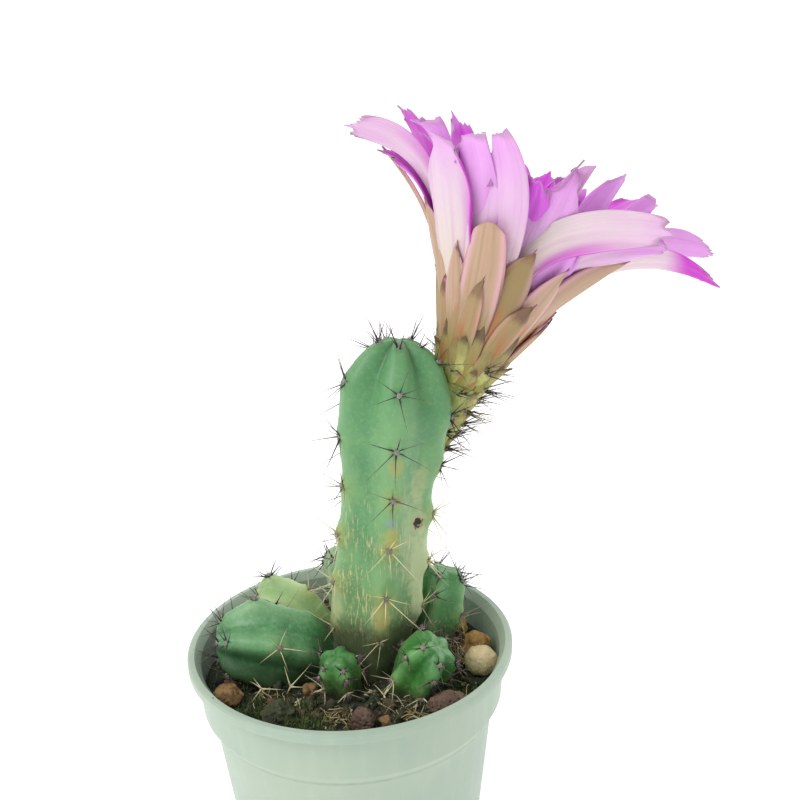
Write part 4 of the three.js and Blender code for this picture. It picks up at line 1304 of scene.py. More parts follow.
moss_blades = np.concatenate([
    thread_stands((-23, -20.5), 10, 900, 401, 1.8, 0.13, 1.6),
    thread_stands((-10.5, -25), 9, 800, 402, 1.7, 0.13, 1.6),
    thread_stands((-30, -6), 6, 260, 405, 1.6, 0.12, 1.6),
    thread_stands((28, -12), 7, 300, 403, 1.5, 0.12, 1.6),
])
moss_looks = ("moss", ["#2a3b1e", "#44592b", "#72813f", "#37482a"], 0.35, 0.8, 0.1)
lay_on_soil("moss", blade_master, moss_blades, tones_for(moss_blades, 404), *moss_looks)


# %% Shed stars of spines
STAR_PLACES = [(-22.5, -12.9, 7.5), (-15.2, -12.4, 8.5), (-6.5, -14.6, 6), (8.6, -17, 6), (27.5, 12, 7)]


def shed_stars():
    """Old areoles that have dropped on the soil, each with a few straw spines."""
    draw = draws(501)
    feet, ways = [], []
    for x, y, tall in STAR_PLACES:
        for number in range(4):
            turn = number * 1.5 + 1.1 * draw()
            feet.append(on_soil(x, y, 2.4))
            way = np.array((math.cos(turn), 0.5 * math.sin(turn), 0.9 * math.sin(turn) + 0.15))
            ways.append(way * (0.62 + 0.35 * draw()) * tall)
    return stood(feet, ways, 0.2, np.linalg.norm(ways, axis=1))


finish_piece(copies(spine_master, shed_stars(), 0.12), "shed_spines", ["soil"], SPINE_HORN)

# %% Pale bits and chips of bark, each at (x, y) and of a size
PALE_BITS = [(3.8, -14.4, 0.8), (5.1, -13.2, 0.6), (29.5, -9.5, 0.9), (16.5, -20.6, 0.6), (-13, -17, 0.6)]
BARK_CHIPS = [
    (-18.6, -18.6, 2.3), (-10.4, -13.2, 2.6), (30.4, 16.5, 2.4), (20, -15.5, 1.8), (-31, -9, 2),
    (9, -27, 1.9),
]
pale_bits = np.array([
    laid(on_soil(x, y, 0.4), (0, 0, 0), (size, size, 0.8 * size)) for x, y, size in PALE_BITS
])
pale_looks = ("pale_bit", ["#a8a284", "#c9c5a5"], 0.3)
lay_on_soil("pale_bits", crumb_master, pale_bits, tones_for(pale_bits, 502), *pale_looks)
chips = np.array([
    laid(on_soil(x, y, 0.35 * size), (0.3, 0.2, x), (size, 0.75 * size, 0.55 * size))
    for x, y, size in BARK_CHIPS
])
chip_master = soft_ball("chip_master", 4, 12, 0.9)
chip_looks = ("bark_chip", ["#4a3626", "#6d4b35", "#8a6a45", "#b89a4f"], 0.6)
lay_on_soil("bark_chips", chip_master, chips, (0.2, 0.5, 0.9, 0.4, 0.3, 0.6), *chip_looks)

# %% [markdown]
# ## Stones
#
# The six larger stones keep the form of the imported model: each is a copy of its node, with its
# loose triangles merged. Subdivision rounds it, and two clouds of displacement roughen it. Lava also
# has small round pits. The tan pebble is water-worn, so it stays smooth.


# %% Round and roughen a stone
def carved_stone(node, waves, pits):
    """A node's own stone, rounded, roughened by waves of some millimetres, and pitted."""
    made = in_scene(node + "_stone", frame["nodes"][node].data.copy())
    made.data.materials.clear()
    made.data.transform(Matrix.Scale(1 / MM, 4))
    pick(made)
    bpy.ops.object.mode_set(mode="EDIT")
    bpy.ops.mesh.select_all(action="SELECT")
    bpy.ops.mesh.remove_doubles(threshold=0.01)
    turn_outwards()
    modifier(made, "SUBSURF", levels=4, render_levels=4)
    places = points_of(made)
    middle = places.mean(0)
    out = unit(places - middle)
    lift = waves * roughened(places, 2.2, 6) + 0.4 * waves * roughened(places, 0.8, 7)
    if pits:
        near = np.array([noise.voronoi(Vector(place) * 0.9)[0][0] for place in places])
        lift = lift - pits * np.exp(-((near / 0.32) ** 2))
    move_points(made, middle + (places - middle) * 1.06 + out * lift[:, None])
    return made


def stone_finish(name, light, middle, dark, spots, pitted):
    made = Finish(name)
    where = made.place()
    cloud = made.grain(where, 0.35, 4, 0.6)
    grit = made.grain(where, 2.4, 4, 0.7)
    shade = made.mix(cloud.rise(0.35, 0.65), colour(middle), colour(light))
    shade = made.mix(grit.rise(0.5, 0.8) * 0.7, shade, colour(dark))
    holes = made.cells(where, 0.9).rise(0.38, 0.12)
    # Painted shade: the pits are darkened as well as sunk by the bump.
    shade = made.mix(holes * (0.8 * pitted), shade, colour(dark))
    shade = made.mix(made.cells(where, 1.7).rise(0.16, 0.1) * 0.6, shade, colour(spots))
    relief = made.bump(grit - holes * pitted, 0.35, 0.8)
    return made.wear(base_color=shade, roughness=0.72 + 0.2 * grit, normal=relief)


STONES = [  # the node, its kind, its waves and pits, and its tints: light, middle, dark, spots, how pitted
    ("tan_pebble", "pale_stone", 0.3, 0, ("#ddcba0", "#c6b384", "#a08a63", "#e6dcb8", 0.1)),
    ("bark_chunk", "bark", 0.7, 0, ("#b08a4e", "#7d5c33", "#443019", "#cdb074", 0.3)),
    ("lava_right", "lava", 0.8, 0.5, ("#7d6353", "#5f4a3f", "#332823", "#a08a78", 0.9)),
    ("lava_front", "lava", 1.0, 0.5, ("#735a4c", "#57443a", "#2f2520", "#94806e", 0.9)),
    ("brown_stone", "brown_stone", 0.7, 0.2, ("#a38152", "#7a5c3a", "#443222", "#c2a878", 0.5)),
    ("dark_stone", "brown_stone", 1.1, 0.3, ("#4d5236", "#393e29", "#1f2217", "#6b7048", 0.5)),
]
for node, kind, waves, pits, tints in STONES:
    finish_piece(carved_stone(node, waves, pits), node + "_dressed", [node], stone_finish(node, *tints))

# %% [markdown]
# ## The flower's tube
#
# The flower grows out of the side of the tall stem on a yellow-green tube. The tube is knobbly: each
# of its small scales sits on a bump with wool and a tuft of dark bristles. Its body is the rowed
# cylinder again, set along a curve; the scales are leaf blades, and the bristles are spine copies.

# %% Where the tube and the flower stand
TUBE_END = np.array((33.6, 6, 150.7))
FLOWER_AXIS = unit(np.array((14.7, 5.5, 36)))
FLOWER_FRONT = unit(FRONT - FLOWER_AXIS * (FLOWER_AXIS @ FRONT))
FLOWER_SIDE = np.cross(FLOWER_AXIS, FLOWER_FRONT)
tube_path = Path((20.5, 5, 122), (26, 6.4, 136), TUBE_END - 6 * FLOWER_AXIS, TUBE_END)
TUBE_GIRTH = [(0, 3.4), (10, 4.6), (20, 6), (31, 8.6)]
SCALE_COUNT = 30
GOLDEN_TURN = 2.399  # from each scale to the next, as leaves grow
print("tube length in millimetres:", round(tube_path.length, 1))


def tube_seats():
    """The places of the scales, in a spiral: a share of the tube and a turn."""
    numbers = range(SCALE_COUNT)
    return [(lerp(0.12, 0.93, number / (SCALE_COUNT - 1)), number * GOLDEN_TURN) for number in numbers]


def tube_skin(share, turn, proud=0.0):
    """A place on the tube, and the ways out, aside and along."""
    middle, front, right, ahead = tube_path.at(share)
    out = front * np.cos(turn)[..., None] + right * np.sin(turn)[..., None]
    radius = read_at(TUBE_GIRTH, share * tube_path.length)
    for seat, bearing in tube_seats():
        far = (share - seat) * tube_path.length
        round_it = np.abs(np.mod(turn - bearing + math.pi, FULL_TURN) - math.pi) * radius
        radius = radius + 0.75 * np.exp(-(((far + 0.8) / 2.4) ** 2) - (round_it / 1.5) ** 2)
    return middle + out * (radius + proud)[..., None], out, np.cross(ahead, out), ahead


# %% [markdown]
# ## Leaf blades
#
# Scales, tepals and petals are all leaf blades. Each starts as a flat grid. Its midrib is a curve that
# leaves the foot upward, passes a waist and ends at the tip; these three are given by a bearing round
# the flower, a distance from its axis and a height. The grid is bent along that curve, cupped across
# it, rolled at its edges, twisted, and frayed at its end. Solidify gives it a thickness. Bearing 0 is
# the front of the flower, and 90 its right.


# %% The midrib of a blade
def flower_spot(bearing, out, up):
    turn = math.radians(bearing)
    return np.array((math.sin(turn) * out, -math.cos(turn) * out, up))


def midrib(blade):
    """A curve from the foot through the waist to the tip."""
    foot, waist, tip = (flower_spot(*blade[part]) for part in ("foot", "waist", "tip"))
    lean = math.radians(blade["lean"])
    upward = flower_spot(blade["foot"][0], math.sin(lean), math.cos(lean))
    rise = foot + upward * np.linalg.norm(waist - foot) / 2
    return Path(foot, rise, (8 * waist - foot - 3 * rise - tip) / 3, tip)


# %% The blade's outline and its section
def outline(blade, share):
    """The share of the full width: a slim foot, a broad belly, a drawn-in tip."""
    closing = np.maximum(0, (share - blade["belly"]) / (1 - blade["belly"]))
    opening = lerp(blade["claw"], 1, smooth(share / blade["belly"]))
    return opening * (1 - (1 - blade["tip_width"]) * closing**2.2)


def section(blade, across, share):
    """How far aside and how far inward a point lies, per half width, summed from the midrib."""
    spot = across[:, None] * (np.arange(12) + 0.5) / 12
    edge = smooth((np.abs(spot) - 0.5) / 0.5) * smooth(share * 1.6)[:, None]
    rolled = np.where(spot > 0, blade["roll"][1], blade["roll"][0]) * np.sign(spot) * edge
    turn = np.radians(blade["cup"] * spot - rolled)
    return across * np.cos(turn).mean(1), across * np.sin(turn).mean(1)


def relief_of(blade, across, share):
    """Small forms of a blade, in millimetres inward: waves, ruffles, pleats and the midrib's groove."""
    phase = blade["phase"]
    wave = blade["wave"] * np.sin(5 * share + 2.6 * across + phase) * np.abs(across)
    ruffle = blade["ruffle"] * np.sin(15 * share + 4 * phase + 2 * np.sign(across)) * np.abs(across) ** 3
    pleat = blade["pleat"] * (np.cos(7.8 * across + 0.5 * phase) - 1.2 * np.exp(-((across / 0.14) ** 2)))
    return (wave + ruffle) * share + pleat * (0.3 + 0.7 * share) * (1 - 0.6 * share**6)


def frayed_end(blade, across, share):
    """How far the end of the blade stands forward or back, from its rounded corners to its point."""
    phase = blade["phase"]
    teeth = np.sin(9 * across + 5 * phase) * np.cos(17 * across + 3 * phase)
    teeth = teeth + 0.5 * np.sin(31 * across + phase)
    end = blade["teeth"] * teeth - blade["point"] * np.abs(across) ** 1.6 + blade["lop"] * across
    return end * share**5 + blade["spike"] * np.exp(-((across / 0.13) ** 2)) * share**12


# %% Bend the grid
def blade_places(blade, across, share):
    middle, _, _, ahead = midrib(blade).at(share)
    level = flower_spot(blade["waist"][0] + 90, 1, 0)
    side = unit(level - ahead * (ahead @ level)[:, None])
    outward = np.cross(side, ahead)
    twist = (np.radians(blade["twist"]) * smooth(share * 1.25 - 0.25))[:, None]
    cos, sin = np.cos(twist), np.sin(twist)
    side, outward = side * cos + outward * sin, outward * cos - side * sin
    half = 0.5 * blade["width"] * outline(blade, share)
    aside, inward = section(blade, across, share)
    inward = inward * half + relief_of(blade, across, share)
    forward = frayed_end(blade, across, share)
    return middle + side * (aside * half)[:, None] - outward * inward[:, None] + ahead * forward[:, None]


def leaf_blade(blade, columns, rows):
    """Cuts, bends and thickens one blade."""
    clear_selection()
    bpy.ops.mesh.primitive_grid_add(x_subdivisions=columns, y_subdivisions=rows, size=2)
    made = bpy.context.object
    flat = points_of(made)
    across, share = flat[:, 0], 0.5 + 0.5 * flat[:, 1]
    move_points(made, blade_places(blade, across, share))
    note(made, across=across, share=share, tone=blade["tone"])
    modifier(made, "SOLIDIFY", thickness=blade["thick"], offset=0, use_even_offset=False)
    note(made, inside=np.arange(len(made.data.vertices)) >= len(flat))
    return made


def seat_on(piece, place, side, back, ahead):
    """Moves a blade's mesh from the local Z axis to its seat."""
    basis = np.column_stack([side, back, ahead])
    move_points(piece, points_of(piece) @ basis.T + place)
    return piece


BLADE = {
    "foot": (0, 0, 0), "waist": (0, 1, 5), "tip": (0, 2, 10), "lean": 15, "width": 5, "claw": 0.5,
    "belly": 0.6, "tip_width": 0.4, "cup": 30, "roll": (0, 0), "twist": 0, "wave": 0.5, "ruffle": 0,
    "pleat": 0, "teeth": 0, "point": 2, "lop": 0, "spike": 0, "phase": 0, "thick": 0.42, "tone": 0.5,
}
print("numbers that shape a blade:", len(BLADE))


# %% The tube's body and its scales
def tube_body():
    piece = rowed_cylinder(72, 66)
    turn, share, pole = turn_and_share(piece)
    places, out, _, _ = tube_skin(share, turn)
    places = places + out * (0.14 * roughened(places, 1.2, 31))[:, None]
    places[pole] = tube_path.at(share[pole])[0]
    move_points(piece, places)
    note(piece, share=share * 0.3, tone=0.5 + 0.5 * roughened(places, 2.5, 8), across=0, inside=0)
    return piece


def tube_scales():
    """A scale on each bump, longer towards the flower, that follows the flare of the tube."""
    draw = draws(83)
    made = []
    for share, turn in tube_seats():
        spots, around = np.array([share, min(share + 0.06, 1)]), np.array([turn, turn])
        places, out, _, _ = tube_skin(spots, around, -0.2)
        climb = unit(places[1] - places[0] + out[0] * 0.25)
        outward = unit(out[0] - climb * (out[0] @ climb))
        size = share**1.6
        length = lerp(3.4, 11.5, size) * (1 + 0.12 * draw())
        blade = {
            **BLADE, "foot": (0, -0.5, -1.2), "waist": (0, 0.25, 0.5 * length),
            "tip": (0, 0.6 + 1.6 * size, length), "lean": 5, "width": lerp(2.2, 5.4, size), "claw": 0.85,
            "belly": 0.35, "tip_width": 0.05, "point": 0.5, "cup": 55, "wave": 0.25, "pleat": 0.1,
            "twist": 14 * draw(), "phase": 3 * draw(), "tone": 0.5 + 0.5 * draw(),
        }
        scale = leaf_blade(blade, 6, 14)
        made.append(seat_on(scale, places[0], np.cross(climb, outward), -outward, climb))
    return joined(made)


# %% Bristles and wool of the tube
def tube_bristles():
    """A fan of dark bristles over each bump, and the wool between them."""
    draw = draws(84)
    feet, ways, lengths, tones, wool_feet, wool_ways = [], [], [], [], [], []
    for share, turn in tube_seats():
        for _ in range(9):
            spot, around = np.array([share + 0.025 * draw()]), np.array([turn + 0.16 * draw()])
            here, out, aside, ahead = (part[0] for part in tube_skin(spot, around))
            way = out * (0.9 + 0.2 * draw()) + aside * 0.8 * draw() + ahead * (0.45 + 0.5 * draw())
            length = 8.6 + 2.6 * draw()
            if all(has_room(here + unit(way) * length * part, None) for part in (0.3, 0.6, 1)):
                feet.append(here - out * 0.4)
                ways.append(way)
                lengths.append(length)
                tones.append(0.8 + 0.2 * draw())
        for _ in range(30):
            spot, around = np.array([share + 0.035 * draw()]), np.array([turn + 0.25 * draw()])
            here, out, aside, ahead = (part[0] for part in tube_skin(spot, around))
            wool_feet.append(here)
            wool_ways.append(out * 0.8 + aside * draw() + ahead * draw())
    widths = [0.14 + 0.03 * draw() for _ in feet]
    bristles = copies(spine_master, stood(feet, ways, widths, lengths), tones)
    return bristles, copies(hair_master, stood(wool_feet, wool_ways, 0.04, 2.0), 0.9)


# %% [markdown]
# The tube is a fresh yellow-green. Its scales are streaked orange-brown along their length, and end in
# a dry grey-brown tip. All of them read the blade's own numbers.


# %% Green leaf finish
def scale_skin():
    made = Finish("tube_and_scales")
    where = made.place()
    share = made.noted("share")
    tone = made.noted("tone")
    streak = made.grain(made.place((1, 1, 0.3)), 0.9, 4, 0.6)
    fine = made.grain(where, 2.5, 3)
    leaf = made.mix(streak.rise(0.4, 0.62), colour("#97a755"), colour("#bcbb70"))
    leaf = made.mix(made.grain(where, 0.3, 3).rise(0.5, 0.66) * tone * 0.9, leaf, colour("#a5713a"))
    leaf = made.mix(share.rise(0.3, 0.6) * 0.6, leaf, colour("#9c865a"))
    dry = (share + (fine - 0.5) * 0.25).rise(0.72, 0.92)
    leaf = made.mix(dry * 0.85, leaf, colour("#5b4a3d"))
    relief = made.bump(streak + 0.5 * fine, 0.14, 0.7)
    return made.wear(
        base_color=leaf, roughness=0.5 + 0.15 * fine + 0.2 * dry, normal=relief,
        subsurface_weight=0.15, subsurface_radius=(1.0, 0.9, 0.4), subsurface_scale=0.001,
    )


tube_leaf = scale_skin()
finish_piece(tube_body(), "flower_tube_body", ["flower_tube"], tube_leaf)
finish_piece(tube_scales(), "tube_scales", ["flower_tube"], tube_leaf)
bristles, tube_wool = tube_bristles()
finish_piece(bristles, "tube_bristles", ["flower_tube"], SPINE_HORN)
finish_piece(tube_wool, "tube_wool", ["flower_tube"], FELT)

# %% [markdown]
# ## The flower
#
# Outside stand three rows of tepals, green-tan and leathery, like the bracts of a thistle. Inside them
# come the petals in three rows. Each blade of the front half stands where the real one does, by the
# places of its waist and its tip; the ones behind follow the same plan. Each list gives the waist and
# the tip as (bearing, out, up), the width, the twist and the tone: a high tone is a dark tepal or a
# lilac petal, and one of 1.7 has a magenta side or end. What is special to a blade comes last.

# %% The plan of the tepals
SEPALS = [
    ((-88, 8.6, -2), (-88, 10.4, 5), 3.9, 0, 0.3), ((-60, 8.8, -1), (-58, 11.2, 7.5), 3.9, 10, 0.6),
    ((-34, 8.5, -2.5), (-32, 10.2, 4), 4, -8, 0.25), ((-10, 8.9, -0.5), (-7, 12, 9.5), 4.2, 12, 0.5),
    ((13, 8.5, -3), (16, 10.2, 3.5), 3.9, 0, 0.2), ((38, 8.9, -1), (42, 11.8, 8.5), 4.2, 10, 0.4),
    ((65, 8.6, -2), (66, 11, 5.5), 3.9, 0, 0.7), ((92, 8.5, -3), (93, 10.4, 4), 3.9, -10, 0.3),
    ((116, 8.8, -1), (118, 11.6, 7), 4, 0, 0.4), ((142, 8.6, -2), (141, 10.8, 5), 3.9, 10, 0.5),
    ((168, 8.8, -1), (170, 11.4, 6.5), 4, 0, 0.6), ((-164, 8.5, -3), (-164, 10.4, 4), 3.9, 0, 0.3),
    ((-138, 8.8, -1), (-140, 11.6, 7), 4, -8, 0.4), ((-113, 8.6, -2), (-112, 10.6, 5), 3.9, 8, 0.5),
]
SHORT_TEPALS = [
    ((-94, 11.6, 7), (-95, 15.4, 18.4), 5.5, -20, 0.3), ((-70, 11.5, 6.5), (-72, 13.6, 16), 5.5, 0, 0.5),
    ((-48, 11.6, 7.5), (-44, 14.6, 18), 5.5, 10, 0.4), ((-27, 11.8, 6.5), (-21, 16.6, 17.6), 6, 14, 0.35),
    ((20, 11.8, 5.5), (24, 17.6, 15.6), 6.5, 10, 0.7), ((72, 11.2, 4), (74, 15.2, 13.4), 6, 0, 0.45),
    ((98, 11.6, 6), (100, 16.7, 15.3), 6, 0, 0.5), ((124, 11.6, 6.5), (126, 17, 16.3), 6.5, 0, 0.7),
    ((150, 11.6, 6.5), (150, 16.5, 15.4), 6.5, 0, 0.3), ((176, 11.6, 7), (178, 17.3, 17.2), 6.5, 0, 0.6),
    ((-156, 11.6, 6.5), (-156, 17, 16.5), 6.5, 0, 0.7), ((-126, 11.6, 6.5), (-122, 16.9, 16.3), 6.5, 0, 0.4),
]
LONG_TEPALS = [
    ((-84, 13.8, 14), (-88, 23.4, 30.4), 8.5, -28, 0.12),
    (
        (-23, 14.6, 14), (-25, 23.6, 30), 10.8, 4, 0.1,
        {"tip_width": 0.75, "point": 2.5, "spike": 0, "roll": (0, 40)},
    ),
    ((1, 14, 13), (5, 21, 27), 9.5, 6, 1.0), ((34, 14, 13), (36, 19.4, 25.6), 9, 0, 0.15),
    ((58, 14.6, 15), (67, 27.2, 32.6), 9.5, 26, 0.25),
    ((76, 13.6, 13), (78, 20.4, 28.6), 9, 34, 1.7, {"roll": (50, 0)}),
    ((98, 14, 13.5), (98, 24.1, 28.9), 9.5, 0, 0.3), ((119, 14, 13.5), (118, 23.3, 29.3), 10, 0, 0.6),
    ((142, 14, 13), (142, 22.3, 27.6), 9.5, 0, 0.2), ((165, 14, 13.5), (165, 22.9, 28.4), 10, 0, 0.5),
    ((-170, 14, 13.5), (-168, 22.7, 28.5), 9.5, 0, 0.8), ((-146, 14, 14), (-142, 24.4, 31), 10, 0, 0.3),
    ((-125, 14, 13.5), (-124, 22.6, 28.6), 9, 0, 0.5), ((-104, 15.4, 18), (-102, 37.2, 39), 3, -10, 0.45),
    ((-50, 13.6, 12), (-52, 17.6, 23), 8, 0, 0.15),
]
print("tepals planned:", len(SEPALS) + len(SHORT_TEPALS) + len(LONG_TEPALS))


# %% The plan of the petals
OUTER_PETALS = [
    ((-58, 19.6, 28), (-59.5, 32.4, 44), 17.5, -8, 0.25, {"roll": (0, 80), "cup": 20, "claw": 0.4}),
    (
        (-23, 18.8, 26), (-36, 26.2, 46.6), 14.5, 4, 0.4,
        {"roll": (0, 15), "tip_width": 0.5, "point": 3.5, "lop": 4.5},
    ),
    ((10, 18.1, 31), (9, 22.5, 47), 12, 8, 0.6, {"point": 5, "tip_width": 0.3, "lop": 0, "teeth": 0.3}),
    (
        (4, 15.6, 23), (48, 36.8, 40.9), 10, 34, 0.0,
        {"roll": (0, 110), "teeth": 1.3, "tip_width": 0.7, "point": 1.5},
    ),
    ((38, 13.8, 21.8), (57, 35.6, 38), 9.5, 40, 0.4, {"tip_width": 0.6, "point": 2}),
    ((70, 20, 25.8), (76, 48.2, 35.2), 10.5, 38, 1.7, {"roll": (50, 0)}),
    ((94, 19, 27), (96, 49.4, 43), 10.5, 60, 0.5, {}),
    ((118, 19, 30), (122, 37, 51), 13, 0, 0.5, {}), ((152, 19, 30), (152, 36.3, 49.4), 13, 0, 0.4, {}),
    ((-178, 19, 30), (-178, 36, 50), 13, 10, 0.5, {}), ((-150, 19, 30), (-150, 39, 50), 13, -8, 0.4, {}),
    ((-122, 19.6, 29), (-120, 41, 50.9), 7.5, 26, 0.5, {"roll": (60, 60)}),
    ((-92, 19.6, 29.4), (-93, 45.8, 41), 8, -62, 0.2, {"roll": (0, 50), "tip_width": 0.65, "point": 2}),
    ((-102, 18, 25.6), (-101, 37, 38.4), 9.5, 46, 0.9, {"roll": (-20, 0)}),
]
INNER_PETALS = [
    (
        (-42, 19.5, 28.6), (-51, 27.4, 45.2), 14.5, 0, 0.3,
        {"roll": (0, 25), "tip_width": 0.65, "point": 2, "teeth": 0.9, "lop": 0},
    ),
    ((-76, 18.6, 31), (-76, 33.5, 46.2), 13, 0, 0.8, {}), ((34, 16, 23), (34, 20.5, 31.5), 10, 12, 0.7, {}),
    ((53, 15.1, 29.7), (61, 20, 51), 14, -8, 0.65, {"point": 4}),
    ((98, 18.4, 29), (103, 32.6, 49.2), 11, 44, 0.85, {"tip_width": 0.65, "point": 2.5}),
    ((150, 16, 30), (150, 26.4, 49.4), 13, 0, 0.6, {}),
    ((-138, 18, 31), (-138, 33, 54.4), 11, 20, 0.7, {"point": 5}),
]
THROAT_PETALS = [
    ((-8, 15.2, 27), (-8, 24.4, 41.4), 12, 0, 0.8, {}), ((62, 15.6, 27), (62, 27.5, 41.4), 12, 14, 0.8, {}),
    ((88, 16, 28), (88, 29, 43), 12, 10, 0.8, {}), ((132, 16, 29), (132, 28, 45.4), 12, 0, 0.8, {}),
    ((166, 15, 28), (164, 24.6, 49.2), 12.5, 0, 0.8, {"roll": (0, 60), "teeth": 0.3}),
    ((-162, 16, 29), (-162, 28.8, 46.4), 12, 0, 0.8, {}),
    ((-108, 16, 29), (-108, 29.6, 45.6), 12, 0, 0.8, {}),
    ((-60, 15.4, 28), (-58, 26.6, 42.4), 12, 0, 0.8, {}),
]
print("petals planned:", len(OUTER_PETALS) + len(INNER_PETALS) + len(THROAT_PETALS))


# %% Grow a row of blades
def on_flower(piece):
    """Seats a piece, made round its local Z axis, on the end of the tube."""
    return seat_on(piece, TUBE_END, FLOWER_SIDE, -FLOWER_FRONT, FLOWER_AXIS)


def grown_blades(plan, seed, foot, columns, rows, shape):
    """A joined row of blades on the flower's axis. Their feet stand at (out, up)."""
    draw = draws(seed)
    made = []
    for waist, tip, width, twist, tone, *special in plan:
        own = {"foot": (waist[0], *foot), "waist": waist, "tip": tip, "width": width, "twist": twist}
        own["tone"] = tone
        own["phase"] = 3 * draw()
        own["cup"] = shape["cup"] + 10 * draw()
        own["lop"] = 1.2 * draw()
        blade = {**BLADE, **shape, **own, **(special[0] if special else {})}
        made.append(on_flower(leaf_blade(blade, columns, rows)))
    return joined(made)


# %% [markdown]
# A tepal is leathery: green at its foot, tan and streaked orange above, pink at its edges with a dark
# thin rim, and dry and brown at its tip. A petal is thin, so light passes through it. Outside it is
# cream and pale pink with fine veins along it; inside it is magenta, and pale in the throat.


# %% Tepal and petal finishes
BLADE_NOTES = ("across", "share", "tone", "inside")


def tepal_leather(name, foot, blade, edge, tip_tint, dry_from):
    made = Finish(name)
    across, share, tone, inside = (made.noted(name) for name in BLADE_NOTES)
    where = made.place()
    veins = made.grain(made.three(across * 5, share * 0.8, tone * 40), 1.6, 3, 0.6)
    broad = made.grain(made.three(across * 1.5, share * 1.5, tone * 70), 1.2, 2)
    fine = made.grain(where, 1.1, 4, 0.6)
    wide = made.maths("ABSOLUTE", across)
    leaf = made.mix((share + (veins - 0.5) * 0.3).rise(0.05, 0.5), colour(foot), colour(blade))
    leaf = made.mix(tone.rise(0.45, 1.0) * tone.rise(1.5, 1.2) * 0.85, leaf, colour("#8f7a48"))
    leaf = made.mix(veins.rise(0.42, 0.68) * 0.4, leaf, colour("#8f8146"))
    leaf = made.mix(broad.rise(0.5, 0.64) * share.rise(0.75, 0.3) * 0.7, leaf, colour("#b3673c"))
    edges = wide.rise(0.5, 0.9) * share.rise(0.15, 0.6) * (1 - tone * 0.6)
    leaf = made.mix(edges * 0.8, leaf, colour(edge))
    bright = tone.rise(1.2, 1.6) * across.rise(0.1, -0.35) * share.rise(0.35, 0.6)
    leaf = made.mix(bright, leaf, colour("#c35cae"))
    rim = wide.rise(0.86, 0.97) * share.rise(0.85, 0.4)
    leaf = made.mix(rim * 0.8, leaf, colour("#6b3d2c"))
    dry = (share + (fine - 0.5) * 0.12 + (tone - 0.5) * 0.06).rise(dry_from, dry_from + 0.14)
    leaf = made.mix(dry * 0.85 * tone.rise(0.1, 0.5), leaf, colour(tip_tint))
    leaf = made.mix(inside * share.rise(0.1, 0.4) * 0.75, leaf, colour("#c678ac"))
    relief = made.bump(veins + 0.4 * fine, 0.2, 0.7)
    return made.wear(
        base_color=leaf, roughness=0.46 + 0.16 * fine, normal=relief,
        subsurface_weight=0.2, subsurface_radius=(1.2, 0.8, 0.5), subsurface_scale=0.001,
    )


def petal_silk(name, cream, pale, lilac, vivid, throat):
    made = Finish(name)
    across, share, tone, inside = (made.noted(name) for name in BLADE_NOTES)
    where = made.place()
    wide = made.maths("ABSOLUTE", across)
    veins = made.grain(made.three(across * 9, share * 0.9, tone * 60), 1.5, 3, 0.55)
    bands = made.grain(made.three(across * 1.5, share * 0.8, tone * 90), 1.1, 2)
    blush = made.grain(where, 0.09, 2)
    rosy = (share * 0.9 + tone * tone.rise(1.5, 1.1) * 0.8 + (blush - 0.5) * 0.5).rise(0.55, 1.35)
    outer = made.mix(share.rise(0.2, 0.8), colour(cream), colour(pale))
    outer = made.mix(rosy, outer, colour(lilac))
    outer = made.mix(bands.rise(0.5, 0.66) * tone * 0.5, outer, colour(lilac))
    outer = made.mix(tone.rise(1.1, 1.5) * share.rise(0.76, 0.88), outer, colour(vivid))
    outer = made.mix(veins.rise(0.5, 0.72) * 0.2, outer, colour(vivid))
    flush = across.rise(0.2, 0.85) * share.rise(0.25, 0.5) * share.rise(0.95, 0.6)
    outer = made.mix(flush * tone.rise(0.36, 0.28) * 0.75, outer, colour(vivid))
    outer = made.mix(wide.rise(0.12, 0.0) * share.rise(0.9, 0.3) * 0.3, outer, colour(vivid))
    inner = made.mix(share.rise(0.1, 0.3), colour(throat), colour(vivid))
    inner = made.mix(share.rise(0.6, 1.0) * 0.6 * blush.rise(0.3, 0.7), inner, colour(lilac))
    inner = made.mix(veins.rise(0.5, 0.75) * 0.4, inner, colour("#a31f94"))
    silk = made.mix(inside, outer, inner)
    silk = made.mix((share + wide * 0.04).rise(0.985, 1.01) * 0.5, silk, colour("#a8879a"))
    fine = made.grain(where, 1.6, 3)
    return made.wear(
        base_color=silk, roughness=0.44 + 0.14 * fine, normal=made.bump(veins + 0.3 * fine, 0.22, 0.6),
        subsurface_weight=0.3, subsurface_radius=(1.4, 0.9, 1.3), subsurface_scale=0.0012,
        sheen_weight=0.15, sheen_roughness=0.4,
    )


# %% Grow the rows
TEPAL_SHAPE = {
    "lean": 16, "claw": 0.75, "belly": 0.5, "tip_width": 0.1, "point": 0.8, "spike": 1.2, "wave": 0.3,
    "cup": 34, "pleat": 0.14, "thick": 0.55,
}
TEPAL_ROWS = [  # the row, its plan and seed, where its feet stand, its tints, and where its tips turn dry
    ("sepals", SEPALS, 87, (6.3, -8.5), ("#8a9340", "#998c53", "#b0876a", "#5b4636", 0.62)),
    ("short_tepals", SHORT_TEPALS, 89, (7.4, -4.5), ("#8f9346", "#ab8d68", "#d0a096", "#6b4a35", 0.72)),
    ("long_tepals", LONG_TEPALS, 91, (8.3, -1), ("#9c9452", "#bb9a83", "#dcabb6", "#7b4f3c", 0.9)),
]
for name, plan, seed, foot, leather in TEPAL_ROWS:
    row = grown_blades(plan, seed, foot, 10, 24, TEPAL_SHAPE)
    finish_piece(row, name, ["outer_tepals"], tepal_leather(name + "_leather", *leather))

